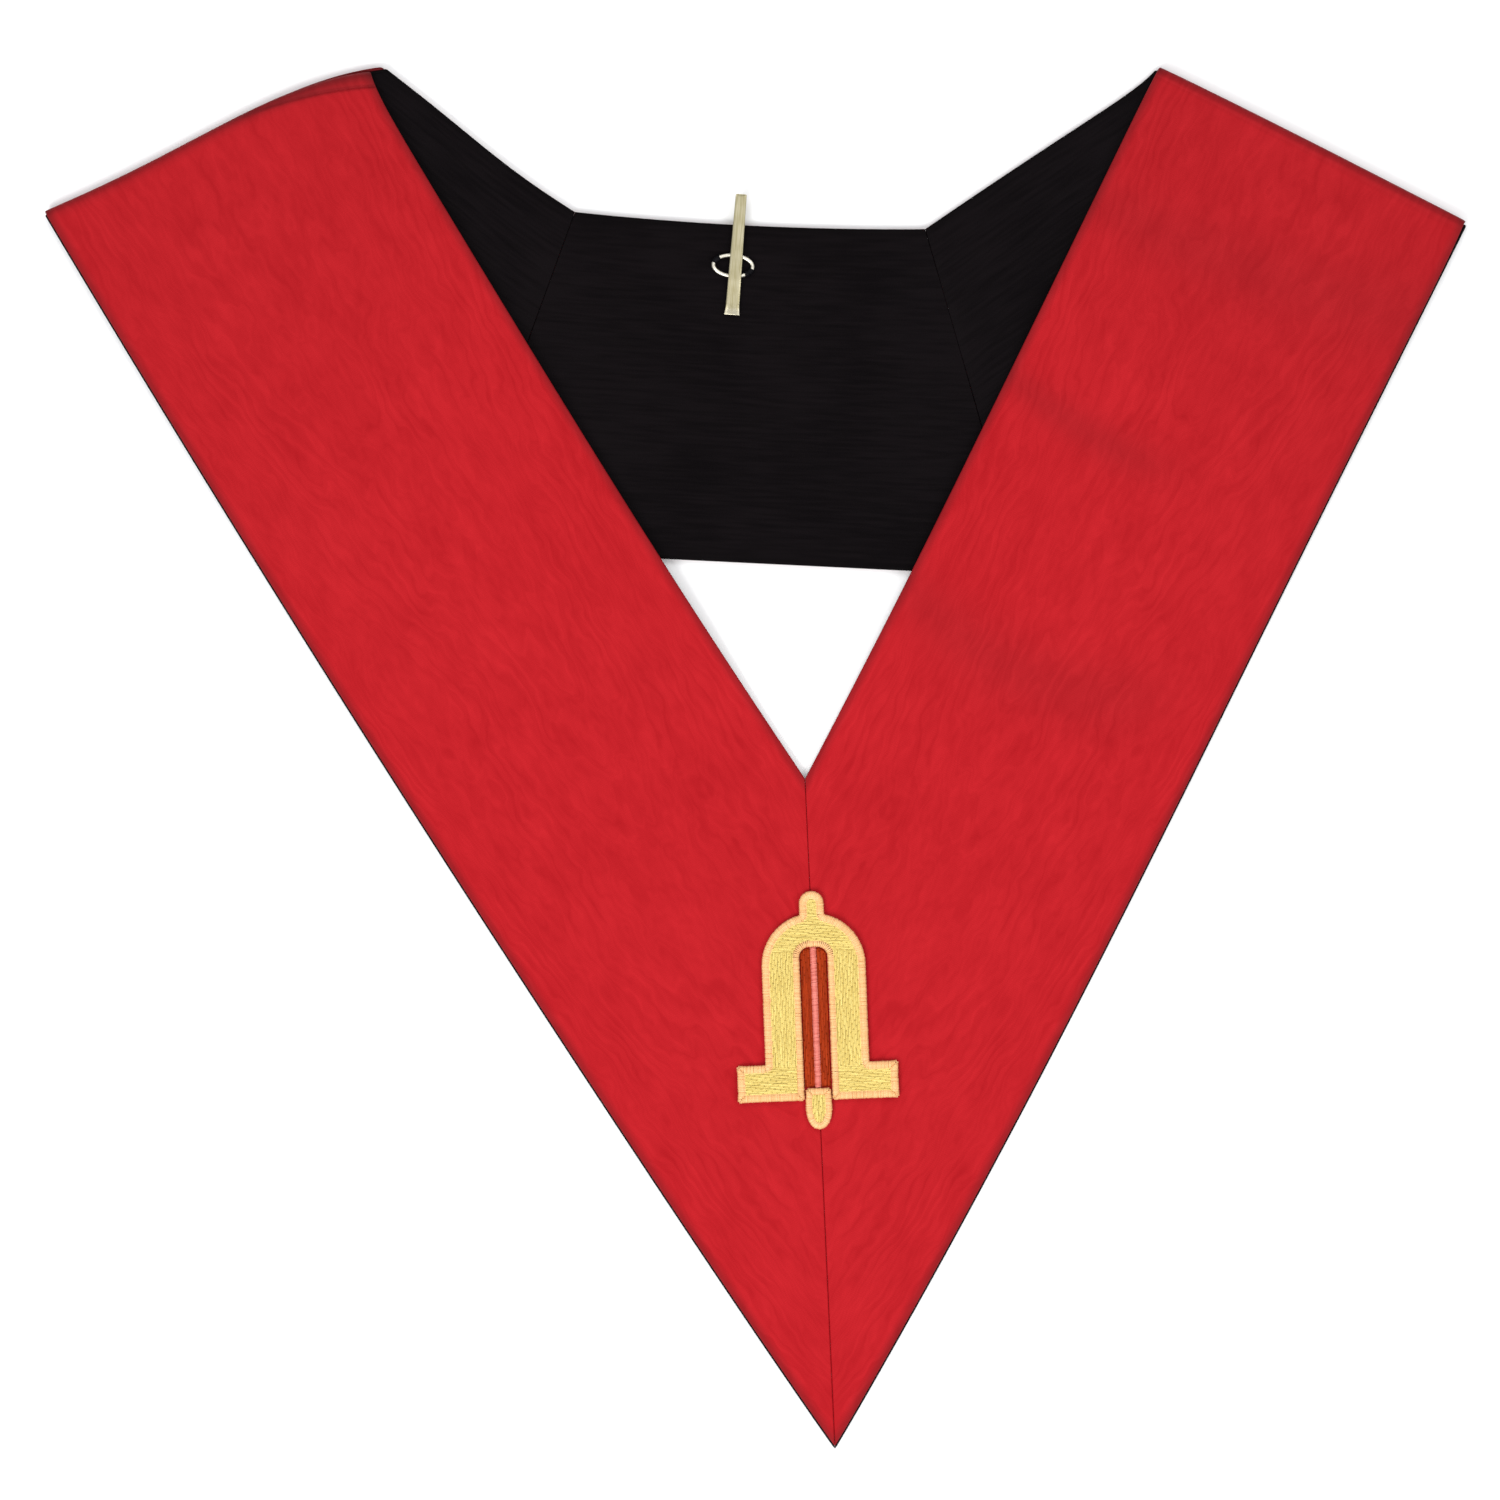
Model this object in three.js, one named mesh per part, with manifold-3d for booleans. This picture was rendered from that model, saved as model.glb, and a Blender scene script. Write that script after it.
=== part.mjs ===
// A regalia collar of red moire ribbon with a black lining, laid flat on a table.
// The back portion lies lining side up, and the two front limbs are folded over it at the shoulder seams.
// Millimetres, +Z up. The table is z = 0, and the origin is under the middle of the outline.

import * as THREE from 'three';
import { mergeVertices } from 'three/addons/utils/BufferGeometryUtils.js';
import Module from 'manifold-3d';

const wasm = await Module();
wasm.setup();

// Cloth
const ribbonWidth = 102;
const faceWall = 1;
const liningWall = 1;
const sewnGap = 0.3; // between pieces that are sewn to each other
const layerGap = 0.4; // between the back portion and the limbs folded over it
const rim = 0.5; // how far lining or face shows past the other along an edge

// Back portion
const neckEdge = 104.5;
const neckDip = 1.5; // how far the neck edge sags in its middle
const neckTilt = -2.8; // the back portion lies slightly turned, in degrees

// Shoulders. edge runs from the neck mitre to the shoulder corner and rises by rise degrees. The shoulder
// seam falls by fall degrees, and the ribbon is eased there to ribbonWidth + ease. peep is how far the
// back's lined corner shows past the limb, and bulge how far the seam stands out, most at bulgeAt.
const shoulders = {
  left: { sign: -1, edge: 71.9, rise: 37.2, fall: 23.2, ease: 3.1, peep: 4, bulge: 3.6, bulgeAt: 0.27 },
  right: { sign: 1, edge: 84.8, rise: 34.9, fall: 26.7, ease: 0.9, peep: 0.4, bulge: 0.3, bulgeAt: 0.4 },
};
// How the edge beside the neck opening curves away from the opening, told as for the limbs
const shoulderEdges = {
  left: { bow: 0.9, lean: -0.4, flare: 0 },
  right: { bow: -0.4, lean: 0, flare: 2.3 },
};
const bulgeRun = 55; // the bulge is gone at this distance from the seam

// Limbs. edge is the length beside the neck opening. The bows are how far the long edges curve outwards. The
// leans add to the curve near the shoulder and take from it near the point of the V. flare is how far the
// inner edge steps out beside the shoulder corner.
const limbs = {
  left: { edge: 247.4, innerBow: 1.7, innerLean: -0.2, flare: 1.9, outerBow: 3.7, outerLean: 0.2 },
  right: { edge: 237, innerBow: 0.9, innerLean: -0.2, flare: -0.4, outerBow: 3.2, outerLean: -0.8 },
};
const innerBowPeak = 0.5;
const outerBowPeak = 0.54;
const flareRun = 7;
const tipAngle = 61.3; // between the two limbs at the point of the V
const tipTilt = 2.56; // the centre seam leans this far to the right

// Drape: where a limb leaves the back portion it stays up for dropStart, then comes down over dropRun
const dropStart = 6;
const dropRun = 48;
const cornerSoftness = 10;

// Soft swells across the limbs, placed at shares of the inner and outer edges, from the shoulder
const swells = {
  left: [
    { inner: 0.14, outer: 0.07, length: 0.06, height: 0.6 },
    { inner: 0.4, outer: 0.2, length: 0.09, height: 0.7 },
    { inner: 0.68, outer: 0.38, length: 0.09, height: 0.5 },
  ],
  right: [
    { inner: 0.1, outer: 0.05, length: 0.04, height: 0.7 },
    { inner: 0.32, outer: 0.15, length: 0.06, height: 1 },
    { inner: 0.57, outer: 0.27, length: 0.07, height: 1 },
    { inner: 0.8, outer: 0.45, length: 0.08, height: 0.6 },
  ],
};
const swellEnd = 0.9; // swells have died out at this share of a limb

// Emblem: an embroidered arch with a knob and two feet, and a plumb line in its slot
const emblemDrop = 33.5; // from the inner corner of the V to the top of the knob
const emblemTilt = 2.2; // the emblem leans this far to the right
const archWidth = 31;
const archHeight = 55.8;
const archCrown = 10.1; // from the top of the arch to the top of the slot
const slotWidth = 8.4;
const slotCorner = 3;
const footSpan = 48;
const footHeight = 11;
const knobWidth = 7.4;
const knobHeight = 6.6;
const relief = 2;
const reliefBevel = 0.4;
const fillWall = 0.5;
const lineWidth = 1.7;
const lineHeight = 0.8;
const bobLength = 12.3;
const bobRise = 3.6; // the part of the bob that stands between the feet
// The bob's outline on one side. across is a share of its half width and down a share of its length. Each row
// after the first is the end of a curve, with the place that the curve bends towards.
const bobCurves = [
  { across: 0.92, down: 0 },
  { across: 1, down: 0.55, bendAcross: 1.02, bendDown: 0.35 },
  { across: 0, down: 1, bendAcross: 0.85, bendDown: 0.98 },
];

// Neck clip: a folded spring strip soldered to an oval sewing ring
const clipOffset = -3.2; // from the middle of the neck edge
const clipTilt = -4.5; // the clip leans a little more than the neck edge
const clipReach = 7.6; // above the neck edge
const clipDrop = 28.5; // below the neck edge
const clipTopWidth = 3.3;
const clipFootWidth = 4.1;
const clipLipWidth = 4.7;
const clipLipLength = 2.6;
const clipLipRise = 1;
const stripWall = 0.7;
const solder = 0.15;
const ringLength = 12.9;
const ringWidth = 7.4;
const ringWire = 1.2;
const ringDrop = 13.8; // from the neck edge to the middle of the ring
const ringOffset = -0.8; // from the middle of the strip

// Mesh fineness
const acrossSteps = 8;
const rollSteps = 4;
const limbSteps = 34;
const shoulderSteps = 8;
const bandSteps = 8;
const wireSides = 8;
const ringSides = 28;
const curveSteps = 12;

// Heights that follow from the walls
const ply = faceWall + sewnGap + liningWall;
const lift = ply + layerGap;
const foldRadius = (ply + lift) / 2;
const backLayers = { face: [0, faceWall], lining: [faceWall + sewnGap, ply] };
const frontLayers = { lining: [lift, lift + liningWall], face: [lift + liningWall + sewnGap, lift + ply] };

const moire = new THREE.MeshStandardMaterial({ color: 0xc81e26, roughness: 0.55, metalness: 0 });
const satin = new THREE.MeshStandardMaterial({ color: 0x17151a, roughness: 0.6, metalness: 0 });
const gold = new THREE.MeshStandardMaterial({ color: 0xe8cc74, roughness: 0.45, metalness: 0.3 });
const russet = new THREE.MeshStandardMaterial({ color: 0x9c2f1c, roughness: 0.6, metalness: 0 });
const rose = new THREE.MeshStandardMaterial({ color: 0xe08a80, roughness: 0.5, metalness: 0 });
const gilt = new THREE.MeshStandardMaterial({ color: 0xd9c48a, roughness: 0.3, metalness: 1 });

function heading(degrees, sign = 1) {
  const turn = THREE.MathUtils.degToRad(degrees);
  return new THREE.Vector2(sign * Math.cos(turn), Math.sin(turn));
}

function step(from, towards, length) {
  return from.clone().addScaledVector(towards, length);
}

function unit(from, to) {
  return to.clone().sub(from).normalize();
}

// A skewed hump that is 0 at both ends and 1 at its peak
function hump(share, peak) {
  return (share / peak) * Math.pow((1 - share) / (1 - peak), (1 - peak) / peak);
}

// Where two circles meet, on the side away from the neck
function lowerMeeting(a, radiusA, b, radiusB) {
  const apart = a.distanceTo(b);
  const along = (apart * apart + radiusA * radiusA - radiusB * radiusB) / (2 * apart);
  const across = Math.sqrt(radiusA * radiusA - along * along);
  const towards = unit(a, b);
  return step(step(a, towards, along), new THREE.Vector2(towards.y, -towards.x), across);
}

// Corners of the outline, with the middle of the neck edge at 0, 0

function backCorners({ sign, edge, rise, fall, peep }) {
  const band = heading(neckTilt).multiplyScalar(sign);
  const neck = band.clone().multiplyScalar(neckEdge / 2);
  const edgeHeading = heading(rise, sign);
  const mean = band.clone().add(edgeHeading).normalize();
  const mitre = new THREE.Vector2(mean.y, -mean.x).multiplyScalar(sign);
  const foot = step(neck, mitre, ribbonWidth / mean.dot(band));
  const inner = step(neck, edgeHeading, edge);
  const seam = heading(-fall, sign);
  return { sign, neck, foot, inner, seam, limb: step(inner, seam, peep) };
}

const corners = { left: backCorners(shoulders.left), right: backCorners(shoulders.right) };
const vPoint = lowerMeeting(
  corners.left.limb, limbs.left.edge,
  corners.right.limb, limbs.right.edge,
);
const centreSeam = heading(tipTilt - 90);
const tip = step(vPoint, centreSeam, ribbonWidth / Math.sin(THREE.MathUtils.degToRad(tipAngle / 2)));
for (const side of ['left', 'right']) {
  const corner = corners[side];
  const run = Math.abs(corner.seam.cross(unit(corner.limb, vPoint)));
  corner.outer = step(corner.limb, corner.seam, (ribbonWidth + shoulders[side].ease) / run);
}

// How far a point lies past the lower edge of the back portion, rounded where two edges meet
function pastBack(point) {
  const edges = [
    [corners.left.outer, corners.left.foot],
    [corners.left.foot, corners.right.foot],
    [corners.right.foot, corners.right.outer],
  ];
  const distances = edges.map(([from, to]) => {
    const along = unit(from, to);
    return point.clone().sub(from).dot(new THREE.Vector2(along.y, -along.x));
  });
  return distances.reduce((a, b) => (a + b + Math.hypot(a - b, cornerSoftness)) / 2);
}

function limbDrop(point) {
  return lift * THREE.MathUtils.smoothstep(pastBack(point), dropStart, dropStart + dropRun);
}

function swellHeight(table, share, across) {
  const fade = 1 - THREE.MathUtils.smoothstep(share, swellEnd / 2, swellEnd);
  const waves = table.map(({ inner, outer, length, height }) => {
    const away = (share - THREE.MathUtils.lerp(inner, outer, across)) / length;
    return height * Math.exp(-away * away);
  });
  return fade * waves.reduce((a, b) => a + b);
}

// Panels of ribbon. A panel runs from its start line to its end line, between its inner and outer edge.

function bowedEdge(from, to, sign, { bow, lean = 0, flare = 0, peak = innerBowPeak }) {
  const along = unit(from, to);
  const out = new THREE.Vector2(-along.y, along.x).multiplyScalar(sign);
  const length = from.distanceTo(to);
  return (share) => {
    const bowed = bow * hump(share, peak) + lean * Math.sin(2 * Math.PI * share);
    const flared = flare * (1 - share) * (1 - Math.exp((-share * length) / flareRun));
    return step(from.clone().lerp(to, share), out, bowed + flared);
  };
}

// Both ends of a sewn line, moved into the panel by half the gap of the seam
function seamEnds(a, b, into) {
  const along = unit(a, b);
  const normal = new THREE.Vector2(-along.y, along.x);
  const way = Math.sign(normal.dot(into.clone().sub(a)));
  return [a, b].map((end) => step(end, normal, (way * sewnGap) / 2));
}

function shoulderBulge(side) {
  const { sign, bulge, bulgeAt } = shoulders[side];
  const { seam } = corners[side];
  const out = new THREE.Vector2(-seam.y, seam.x).multiplyScalar(sign);
  return (away, across) => {
    const fade = 1 - THREE.MathUtils.smoothstep(away, 0, bulgeRun);
    return out.clone().multiplyScalar(bulge * fade * hump(across, bulgeAt));
  };
}

function limbPanel(side) {
  const { sign, limb, outer, seam } = corners[side];
  const { innerBow, innerLean, flare, outerBow, outerLean } = limbs[side];
  const [v, point] = seamEnds(vPoint, tip, limb);
  return {
    inner: bowedEdge(limb, v, sign, { bow: innerBow, lean: innerLean, flare }),
    outer: bowedEdge(outer, point, sign, { bow: outerBow, lean: outerLean, peak: outerBowPeak }),
    innerRun: Math.abs(v.clone().sub(limb).cross(seam)),
    outerRun: Math.abs(point.clone().sub(outer).cross(seam)),
    shift: shoulderBulge(side),
    rise: (plan, share, across) => swellHeight(swells[side], share, across) - limbDrop(plan),
    steps: limbSteps,
    folded: true,
  };
}

function shoulderPanel(side) {
  const { sign, inner, outer, neck, foot, seam } = corners[side];
  const [neckEnd, footEnd] = seamEnds(neck, foot, outer);
  return {
    inner: bowedEdge(inner, neckEnd, sign, shoulderEdges[side]),
    outer: (share) => outer.clone().lerp(footEnd, share),
    innerRun: Math.abs(neckEnd.clone().sub(inner).cross(seam)),
    outerRun: Math.abs(footEnd.clone().sub(outer).cross(seam)),
    shift: shoulderBulge(side),
    rise: () => 0,
    steps: shoulderSteps,
    folded: true,
  };
}

function bandPanel() {
  const { left, right } = corners;
  const [neckLeft, footLeft] = seamEnds(left.neck, left.foot, right.neck);
  const [neckRight, footRight] = seamEnds(right.neck, right.foot, left.neck);
  return {
    inner: bowedEdge(neckLeft, neckRight, -1, { bow: neckDip }),
    outer: (share) => footLeft.clone().lerp(footRight, share),
    innerRun: neckLeft.distanceTo(neckRight),
    outerRun: footLeft.distanceTo(footRight),
    shift: () => new THREE.Vector2(),
    rise: () => 0,
    steps: bandSteps,
    folded: false,
  };
}

// insets are how far a layer stays inside the panel's inner and outer edge
function planPoint(panel, innerShare, outerShare, across, insets) {
  const from = insets.inner / ribbonWidth;
  const to = 1 - insets.outer / ribbonWidth;
  const ruled = THREE.MathUtils.lerp(from, to, across);
  const plan = panel.inner(innerShare).lerp(panel.outer(outerShare), ruled);
  return plan.add(panel.shift(innerShare * panel.innerRun, across));
}

// A point in the half-round roll at a shoulder seam, turn 0 at the seam and 1 where the cloth is flat
function rollPoint(panel, turn, across, level, insets) {
  const fromFold = level - foldRadius;
  const radius = Math.abs(fromFold);
  const angle = THREE.MathUtils.lerp(Math.asin(sewnGap / 2 / radius), Math.PI / 2, turn);
  const reach = foldRadius - radius * Math.cos(angle);
  const plan = planPoint(panel, reach / panel.innerRun, reach / panel.outerRun, across, insets);
  return [plan.x, plan.y, foldRadius + Math.sign(fromFold) * radius * Math.sin(angle)];
}

function flatPoint(panel, share, across, level, insets) {
  const first = panel.folded ? foldRadius : 0;
  const innerShare = THREE.MathUtils.lerp(first / panel.innerRun, 1, share);
  const outerShare = THREE.MathUtils.lerp(first / panel.outerRun, 1, share);
  const plan = planPoint(panel, innerShare, outerShare, across, insets);
  return [plan.x, plan.y, level + panel.rise(plan, share, across)];
}

function surface(panel, level, insets) {
  const columns = Array.from({ length: acrossSteps + 1 }, (_, i) => i / acrossSteps);
  const rows = [];
  if (panel.folded) {
    for (let i = 0; i < rollSteps; i += 1) {
      rows.push(columns.map((across) => rollPoint(panel, i / rollSteps, across, level, insets)));
    }
  }
  for (let i = 0; i <= panel.steps; i += 1) {
    rows.push(columns.map((across) => flatPoint(panel, i / panel.steps, across, level, insets)));
  }
  return rows;
}

function signedVolume(points, index) {
  let volume = 0;
  for (let i = 0; i < index.length; i += 3) {
    const [a, b, c] = [0, 1, 2].map((k) => new THREE.Vector3(...points[index[i + k]]));
    volume += a.dot(b.cross(c)) / 6;
  }
  return volume;
}

function solidFrom(points, index) {
  const facing = signedVolume(points, index) < 0 ? index.slice().reverse() : index;
  const geometry = new THREE.BufferGeometry();
  geometry.setAttribute('position', new THREE.Float32BufferAttribute(points.flat(), 3));
  geometry.setIndex(facing);
  geometry.computeVertexNormals();
  return geometry;
}

// The closed wall between two grids of points
function closedWall(top, bottom) {
  const rows = top.length;
  const columns = top[0].length;
  const under = rows * columns;
  const index = [];
  const quad = (a, b, c, d) => index.push(a, b, c, a, c, d);
  for (let i = 0; i < rows - 1; i += 1) {
    for (let j = 0; j < columns - 1; j += 1) {
      const a = i * columns + j;
      const d = a + columns;
      quad(a, a + 1, d + 1, d);
      quad(under + a, under + d, under + d + 1, under + a + 1);
    }
  }
  const edge = [];
  for (let j = 0; j < columns - 1; j += 1) edge.push(j);
  for (let i = 0; i < rows - 1; i += 1) edge.push(i * columns + columns - 1);
  for (let j = columns - 1; j > 0; j -= 1) edge.push((rows - 1) * columns + j);
  for (let i = rows - 1; i > 0; i -= 1) edge.push(i * columns);
  edge.forEach((p, k) => {
    const q = edge[(k + 1) % edge.length];
    quad(q, p, under + p, under + q);
  });
  return solidFrom([...top.flat(), ...bottom.flat()], index);
}

function cloth(name, panel, [low, high], material, insets) {
  const top = surface(panel, high, insets);
  const bottom = surface(panel, low, insets);
  return named(name, closedWall(top, bottom), material);
}

function named(name, geometry, material) {
  const mesh = new THREE.Mesh(geometry, material);
  mesh.name = name;
  return mesh;
}

// Along its outer edge a limb shows a rim of lining, and along its inner edge the face stands past the lining
function limb(side) {
  const panel = limbPanel(side);
  return [
    cloth(`limb_${side}_lining`, panel, frontLayers.lining, satin, { inner: rim, outer: 0 }),
    cloth(`limb_${side}_face`, panel, frontLayers.face, moire, { inner: 0, outer: rim }),
  ];
}

function backPiece(name, panel) {
  return [
    cloth(`${name}_face`, panel, backLayers.face, moire, { inner: rim, outer: rim }),
    cloth(`${name}_lining`, panel, backLayers.lining, satin, { inner: 0, outer: 0 }),
  ];
}

// Emblem, drawn with the middle of its base at 0, 0 and its knob towards +Y

function raised(shape, height, bevel) {
  const geometry = new THREE.ExtrudeGeometry(shape, {
    depth: height - 2 * bevel,
    bevelEnabled: true,
    bevelThickness: bevel,
    bevelSize: bevel,
    bevelOffset: -bevel,
    bevelSegments: 1,
    curveSegments: curveSteps,
  });
  return geometry.translate(0, 0, bevel);
}

function archShape() {
  const half = archWidth / 2;
  const slot = slotWidth / 2;
  const knob = knobWidth / 2;
  const centre = archHeight - half;
  const slotTop = archHeight - archCrown;
  const knobAngle = Math.acos(knob / half);
  const shape = new THREE.Shape();
  shape.moveTo(-footSpan / 2, 0);
  shape.lineTo(-footSpan / 2, footHeight);
  shape.lineTo(-half, footHeight);
  shape.absarc(0, centre, half, Math.PI, Math.PI - knobAngle, true);
  shape.absarc(0, archHeight + knobHeight - knob, knob, Math.PI, 0, true);
  shape.absarc(0, centre, half, knobAngle, 0, true);
  shape.lineTo(half, footHeight);
  shape.lineTo(footSpan / 2, footHeight);
  shape.lineTo(footSpan / 2, 0);
  shape.lineTo(slot, 0);
  shape.absarc(slot - slotCorner, slotTop - slotCorner, slotCorner, 0, Math.PI / 2, false);
  shape.absarc(slotCorner - slot, slotTop - slotCorner, slotCorner, Math.PI / 2, Math.PI, false);
  shape.lineTo(-slot, 0);
  return shape;
}

function bobShape() {
  const half = slotWidth / 2 - sewnGap;
  const place = (across, down) => new THREE.Vector2(half * across, bobRise - bobLength * down);
  const right = bobCurves.slice(1).map((row, i) => new THREE.QuadraticBezierCurve(
    place(bobCurves[i].across, bobCurves[i].down),
    place(row.bendAcross, row.bendDown),
    place(row.across, row.down),
  ));
  const points = right.flatMap((curve) => curve.getPoints(curveSteps / 2).slice(0, -1));
  const mirrored = points.map((p) => new THREE.Vector2(-p.x, p.y)).reverse();
  return new THREE.Shape([...points, place(0, 1), ...mirrored]);
}

function slab(width, bottom, top, height) {
  const geometry = new THREE.BoxGeometry(width, top - bottom, height);
  return geometry.translate(0, (top + bottom) / 2, height / 2);
}

function emblem() {
  const group = new THREE.Group();
  const slotBottom = bobRise + sewnGap;
  const slotTop = archHeight - archCrown - sewnGap;
  const fill = named(
    'slot_fill',
    slab(slotWidth - 2 * sewnGap, slotBottom, slotTop - slotCorner / 2, fillWall),
    russet,
  );
  const line = named('plumb_line', slab(lineWidth, slotBottom, slotTop, lineHeight), rose);
  line.position.z = fillWall + sewnGap;
  group.add(named('emblem_arch', raised(archShape(), relief, reliefBevel), gold));
  group.add(named('plumb_bob', raised(bobShape(), relief, reliefBevel), gold));
  group.add(fill, line);
  const halfHeight = (knobHeight + archHeight) / 2;
  const middle = step(vPoint, centreSeam, emblemDrop + halfHeight);
  const base = step(middle, heading(emblemTilt - 90), halfHeight);
  const under = [vPoint, base, step(base, centreSeam, bobLength - bobRise)].map((p) => lift - limbDrop(p));
  group.position.set(base.x, base.y, ply + sewnGap + Math.max(...under));
  group.rotation.z = THREE.MathUtils.degToRad(emblemTilt);
  return group;
}

// Neck clip, drawn with the neck edge at y = 0 and the top of the lining at z = 0

function manifoldOf(geometry) {
  const bare = geometry.clone();
  bare.deleteAttribute('normal');
  bare.deleteAttribute('uv');
  const merged = mergeVertices(bare, 1e-4);
  return new wasm.Manifold(new wasm.Mesh({
    numProp: 3,
    vertProperties: new Float32Array(merged.attributes.position.array),
    triVerts: new Uint32Array(merged.index.array),
  }));
}

function geometryOf(manifold) {
  const mesh = manifold.getMesh();
  const geometry = new THREE.BufferGeometry();
  geometry.setAttribute('position', new THREE.BufferAttribute(mesh.vertProperties, 3));
  geometry.setIndex(new THREE.BufferAttribute(mesh.triVerts, 1));
  geometry.computeVertexNormals();
  return geometry;
}

// The strip seen from its side: a hairpin whose front leg comes down to the lining and ends in a lip
function stripSide() {
  const legTop = sewnGap + ringWire - solder;
  const bend = (legTop + stripWall - sewnGap) / 2;
  const bendHeight = sewnGap + bend;
  const bendY = clipReach - bend;
  const backEnd = -ringDrop + ringWidth / 2 + stripWall;
  const ringLow = -ringDrop - ringWidth / 2;
  const lipStart = -clipDrop + clipLipLength;
  const shape = new THREE.Shape();
  shape.moveTo(backEnd, sewnGap);
  shape.lineTo(bendY, sewnGap);
  shape.absarc(bendY, bendHeight, bend, -Math.PI / 2, Math.PI / 2, false);
  shape.lineTo(ringLow, legTop + stripWall);
  shape.lineTo(lipStart, sewnGap + stripWall);
  shape.lineTo(-clipDrop, sewnGap + stripWall + clipLipRise);
  shape.lineTo(-clipDrop, sewnGap + clipLipRise);
  shape.lineTo(lipStart, sewnGap);
  shape.lineTo(ringLow, legTop);
  shape.lineTo(bendY, legTop);
  shape.absarc(bendY, bendHeight, bend - stripWall, Math.PI / 2, -Math.PI / 2, true);
  shape.lineTo(backEnd, sewnGap + stripWall);
  return shape;
}

function stripOutline() {
  const lipStart = -clipDrop + clipLipLength;
  const shape = new THREE.Shape();
  shape.moveTo(-clipTopWidth / 2, clipReach + stripWall);
  shape.lineTo(-clipFootWidth / 2, lipStart);
  shape.lineTo(-clipLipWidth / 2, lipStart - stripWall);
  shape.lineTo(-clipLipWidth / 2, -clipDrop - stripWall);
  shape.lineTo(clipLipWidth / 2, -clipDrop - stripWall);
  shape.lineTo(clipLipWidth / 2, lipStart - stripWall);
  shape.lineTo(clipFootWidth / 2, lipStart);
  shape.lineTo(clipTopWidth / 2, clipReach + stripWall);
  return shape;
}

// Profile axes are along the strip and up, so the side view is stood up across the strip
function strip() {
  const wide = 2 * clipLipWidth;
  const side = new THREE.ExtrudeGeometry(stripSide(), { depth: wide, bevelEnabled: false });
  side.translate(0, 0, -wide / 2);
  side.applyMatrix4(new THREE.Matrix4().makeBasis(
    new THREE.Vector3(0, 1, 0),
    new THREE.Vector3(0, 0, 1),
    new THREE.Vector3(1, 0, 0),
  ));
  const outline = new THREE.ExtrudeGeometry(stripOutline(), { depth: ply + lift, bevelEnabled: false });
  return manifoldOf(side).intersect(manifoldOf(outline));
}

function ring() {
  const radius = ringWire / 2;
  const points = [];
  const index = [];
  for (let i = 0; i < ringSides; i += 1) {
    const around = (2 * Math.PI * i) / ringSides;
    const out = new THREE.Vector2(Math.cos(around) / ringLength, Math.sin(around) / ringWidth).normalize();
    const centre = new THREE.Vector2(
      ringOffset + Math.cos(around) * (ringLength / 2 - radius),
      Math.sin(around) * (ringWidth / 2 - radius) - ringDrop,
    );
    for (let j = 0; j < wireSides; j += 1) {
      const about = (2 * Math.PI * j) / wireSides;
      const p = step(centre, out, radius * Math.cos(about));
      points.push([p.x, p.y, sewnGap + radius + radius * Math.sin(about)]);
      const next = ((i + 1) % ringSides) * wireSides;
      const up = (j + 1) % wireSides;
      const here = i * wireSides;
      index.push(here + j, next + j, next + up, here + j, next + up, here + up);
    }
  }
  return manifoldOf(solidFrom(points, index));
}

function neckClip() {
  const clip = named('neck_clip', geometryOf(strip().add(ring())), gilt);
  const place = heading(neckTilt).multiplyScalar(clipOffset);
  clip.position.set(place.x, place.y, ply);
  clip.rotation.z = THREE.MathUtils.degToRad(clipTilt);
  return clip;
}

const collar = new THREE.Group();
collar.add(...backPiece('neck_band', bandPanel()));
for (const side of ['left', 'right']) {
  collar.add(...backPiece(`shoulder_${side}`, shoulderPanel(side)));
  collar.add(...limb(side));
}
collar.add(emblem(), neckClip());

const outline = new THREE.Box3().setFromObject(collar);
const centre = outline.getCenter(new THREE.Vector3());
collar.position.set(-centre.x, -centre.y, -outline.min.z);

export default collar;
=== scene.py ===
# A regalia collar of watered red ribbon, laid flat on a pale table and seen from straight above.
# Shapes are worked out in millimetres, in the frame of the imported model, and turned to metres in the meshes.

import math
from types import SimpleNamespace

import bpy
import numpy as np
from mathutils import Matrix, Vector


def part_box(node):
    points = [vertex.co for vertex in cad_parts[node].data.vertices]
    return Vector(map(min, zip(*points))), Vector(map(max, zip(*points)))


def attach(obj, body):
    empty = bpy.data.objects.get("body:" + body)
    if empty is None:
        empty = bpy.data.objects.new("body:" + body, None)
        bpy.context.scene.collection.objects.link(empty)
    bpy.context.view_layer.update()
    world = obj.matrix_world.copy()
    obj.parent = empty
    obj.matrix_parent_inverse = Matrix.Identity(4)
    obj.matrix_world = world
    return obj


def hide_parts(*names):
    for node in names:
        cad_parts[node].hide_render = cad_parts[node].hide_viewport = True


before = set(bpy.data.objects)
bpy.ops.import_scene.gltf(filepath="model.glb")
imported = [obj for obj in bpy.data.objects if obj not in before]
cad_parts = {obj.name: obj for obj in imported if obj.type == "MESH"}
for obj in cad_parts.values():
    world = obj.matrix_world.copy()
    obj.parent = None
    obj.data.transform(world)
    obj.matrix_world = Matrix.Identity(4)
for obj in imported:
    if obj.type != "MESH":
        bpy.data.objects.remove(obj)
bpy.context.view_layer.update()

MM = 0.001
dice = np.random.default_rng(7)


def table(names, *rows):
    """A dict for each row of values."""
    return [dict(zip(names.split(), row)) for row in rows]


# Sizes of the collar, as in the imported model. Lengths are millimetres, tilts and turns are degrees.

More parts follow.
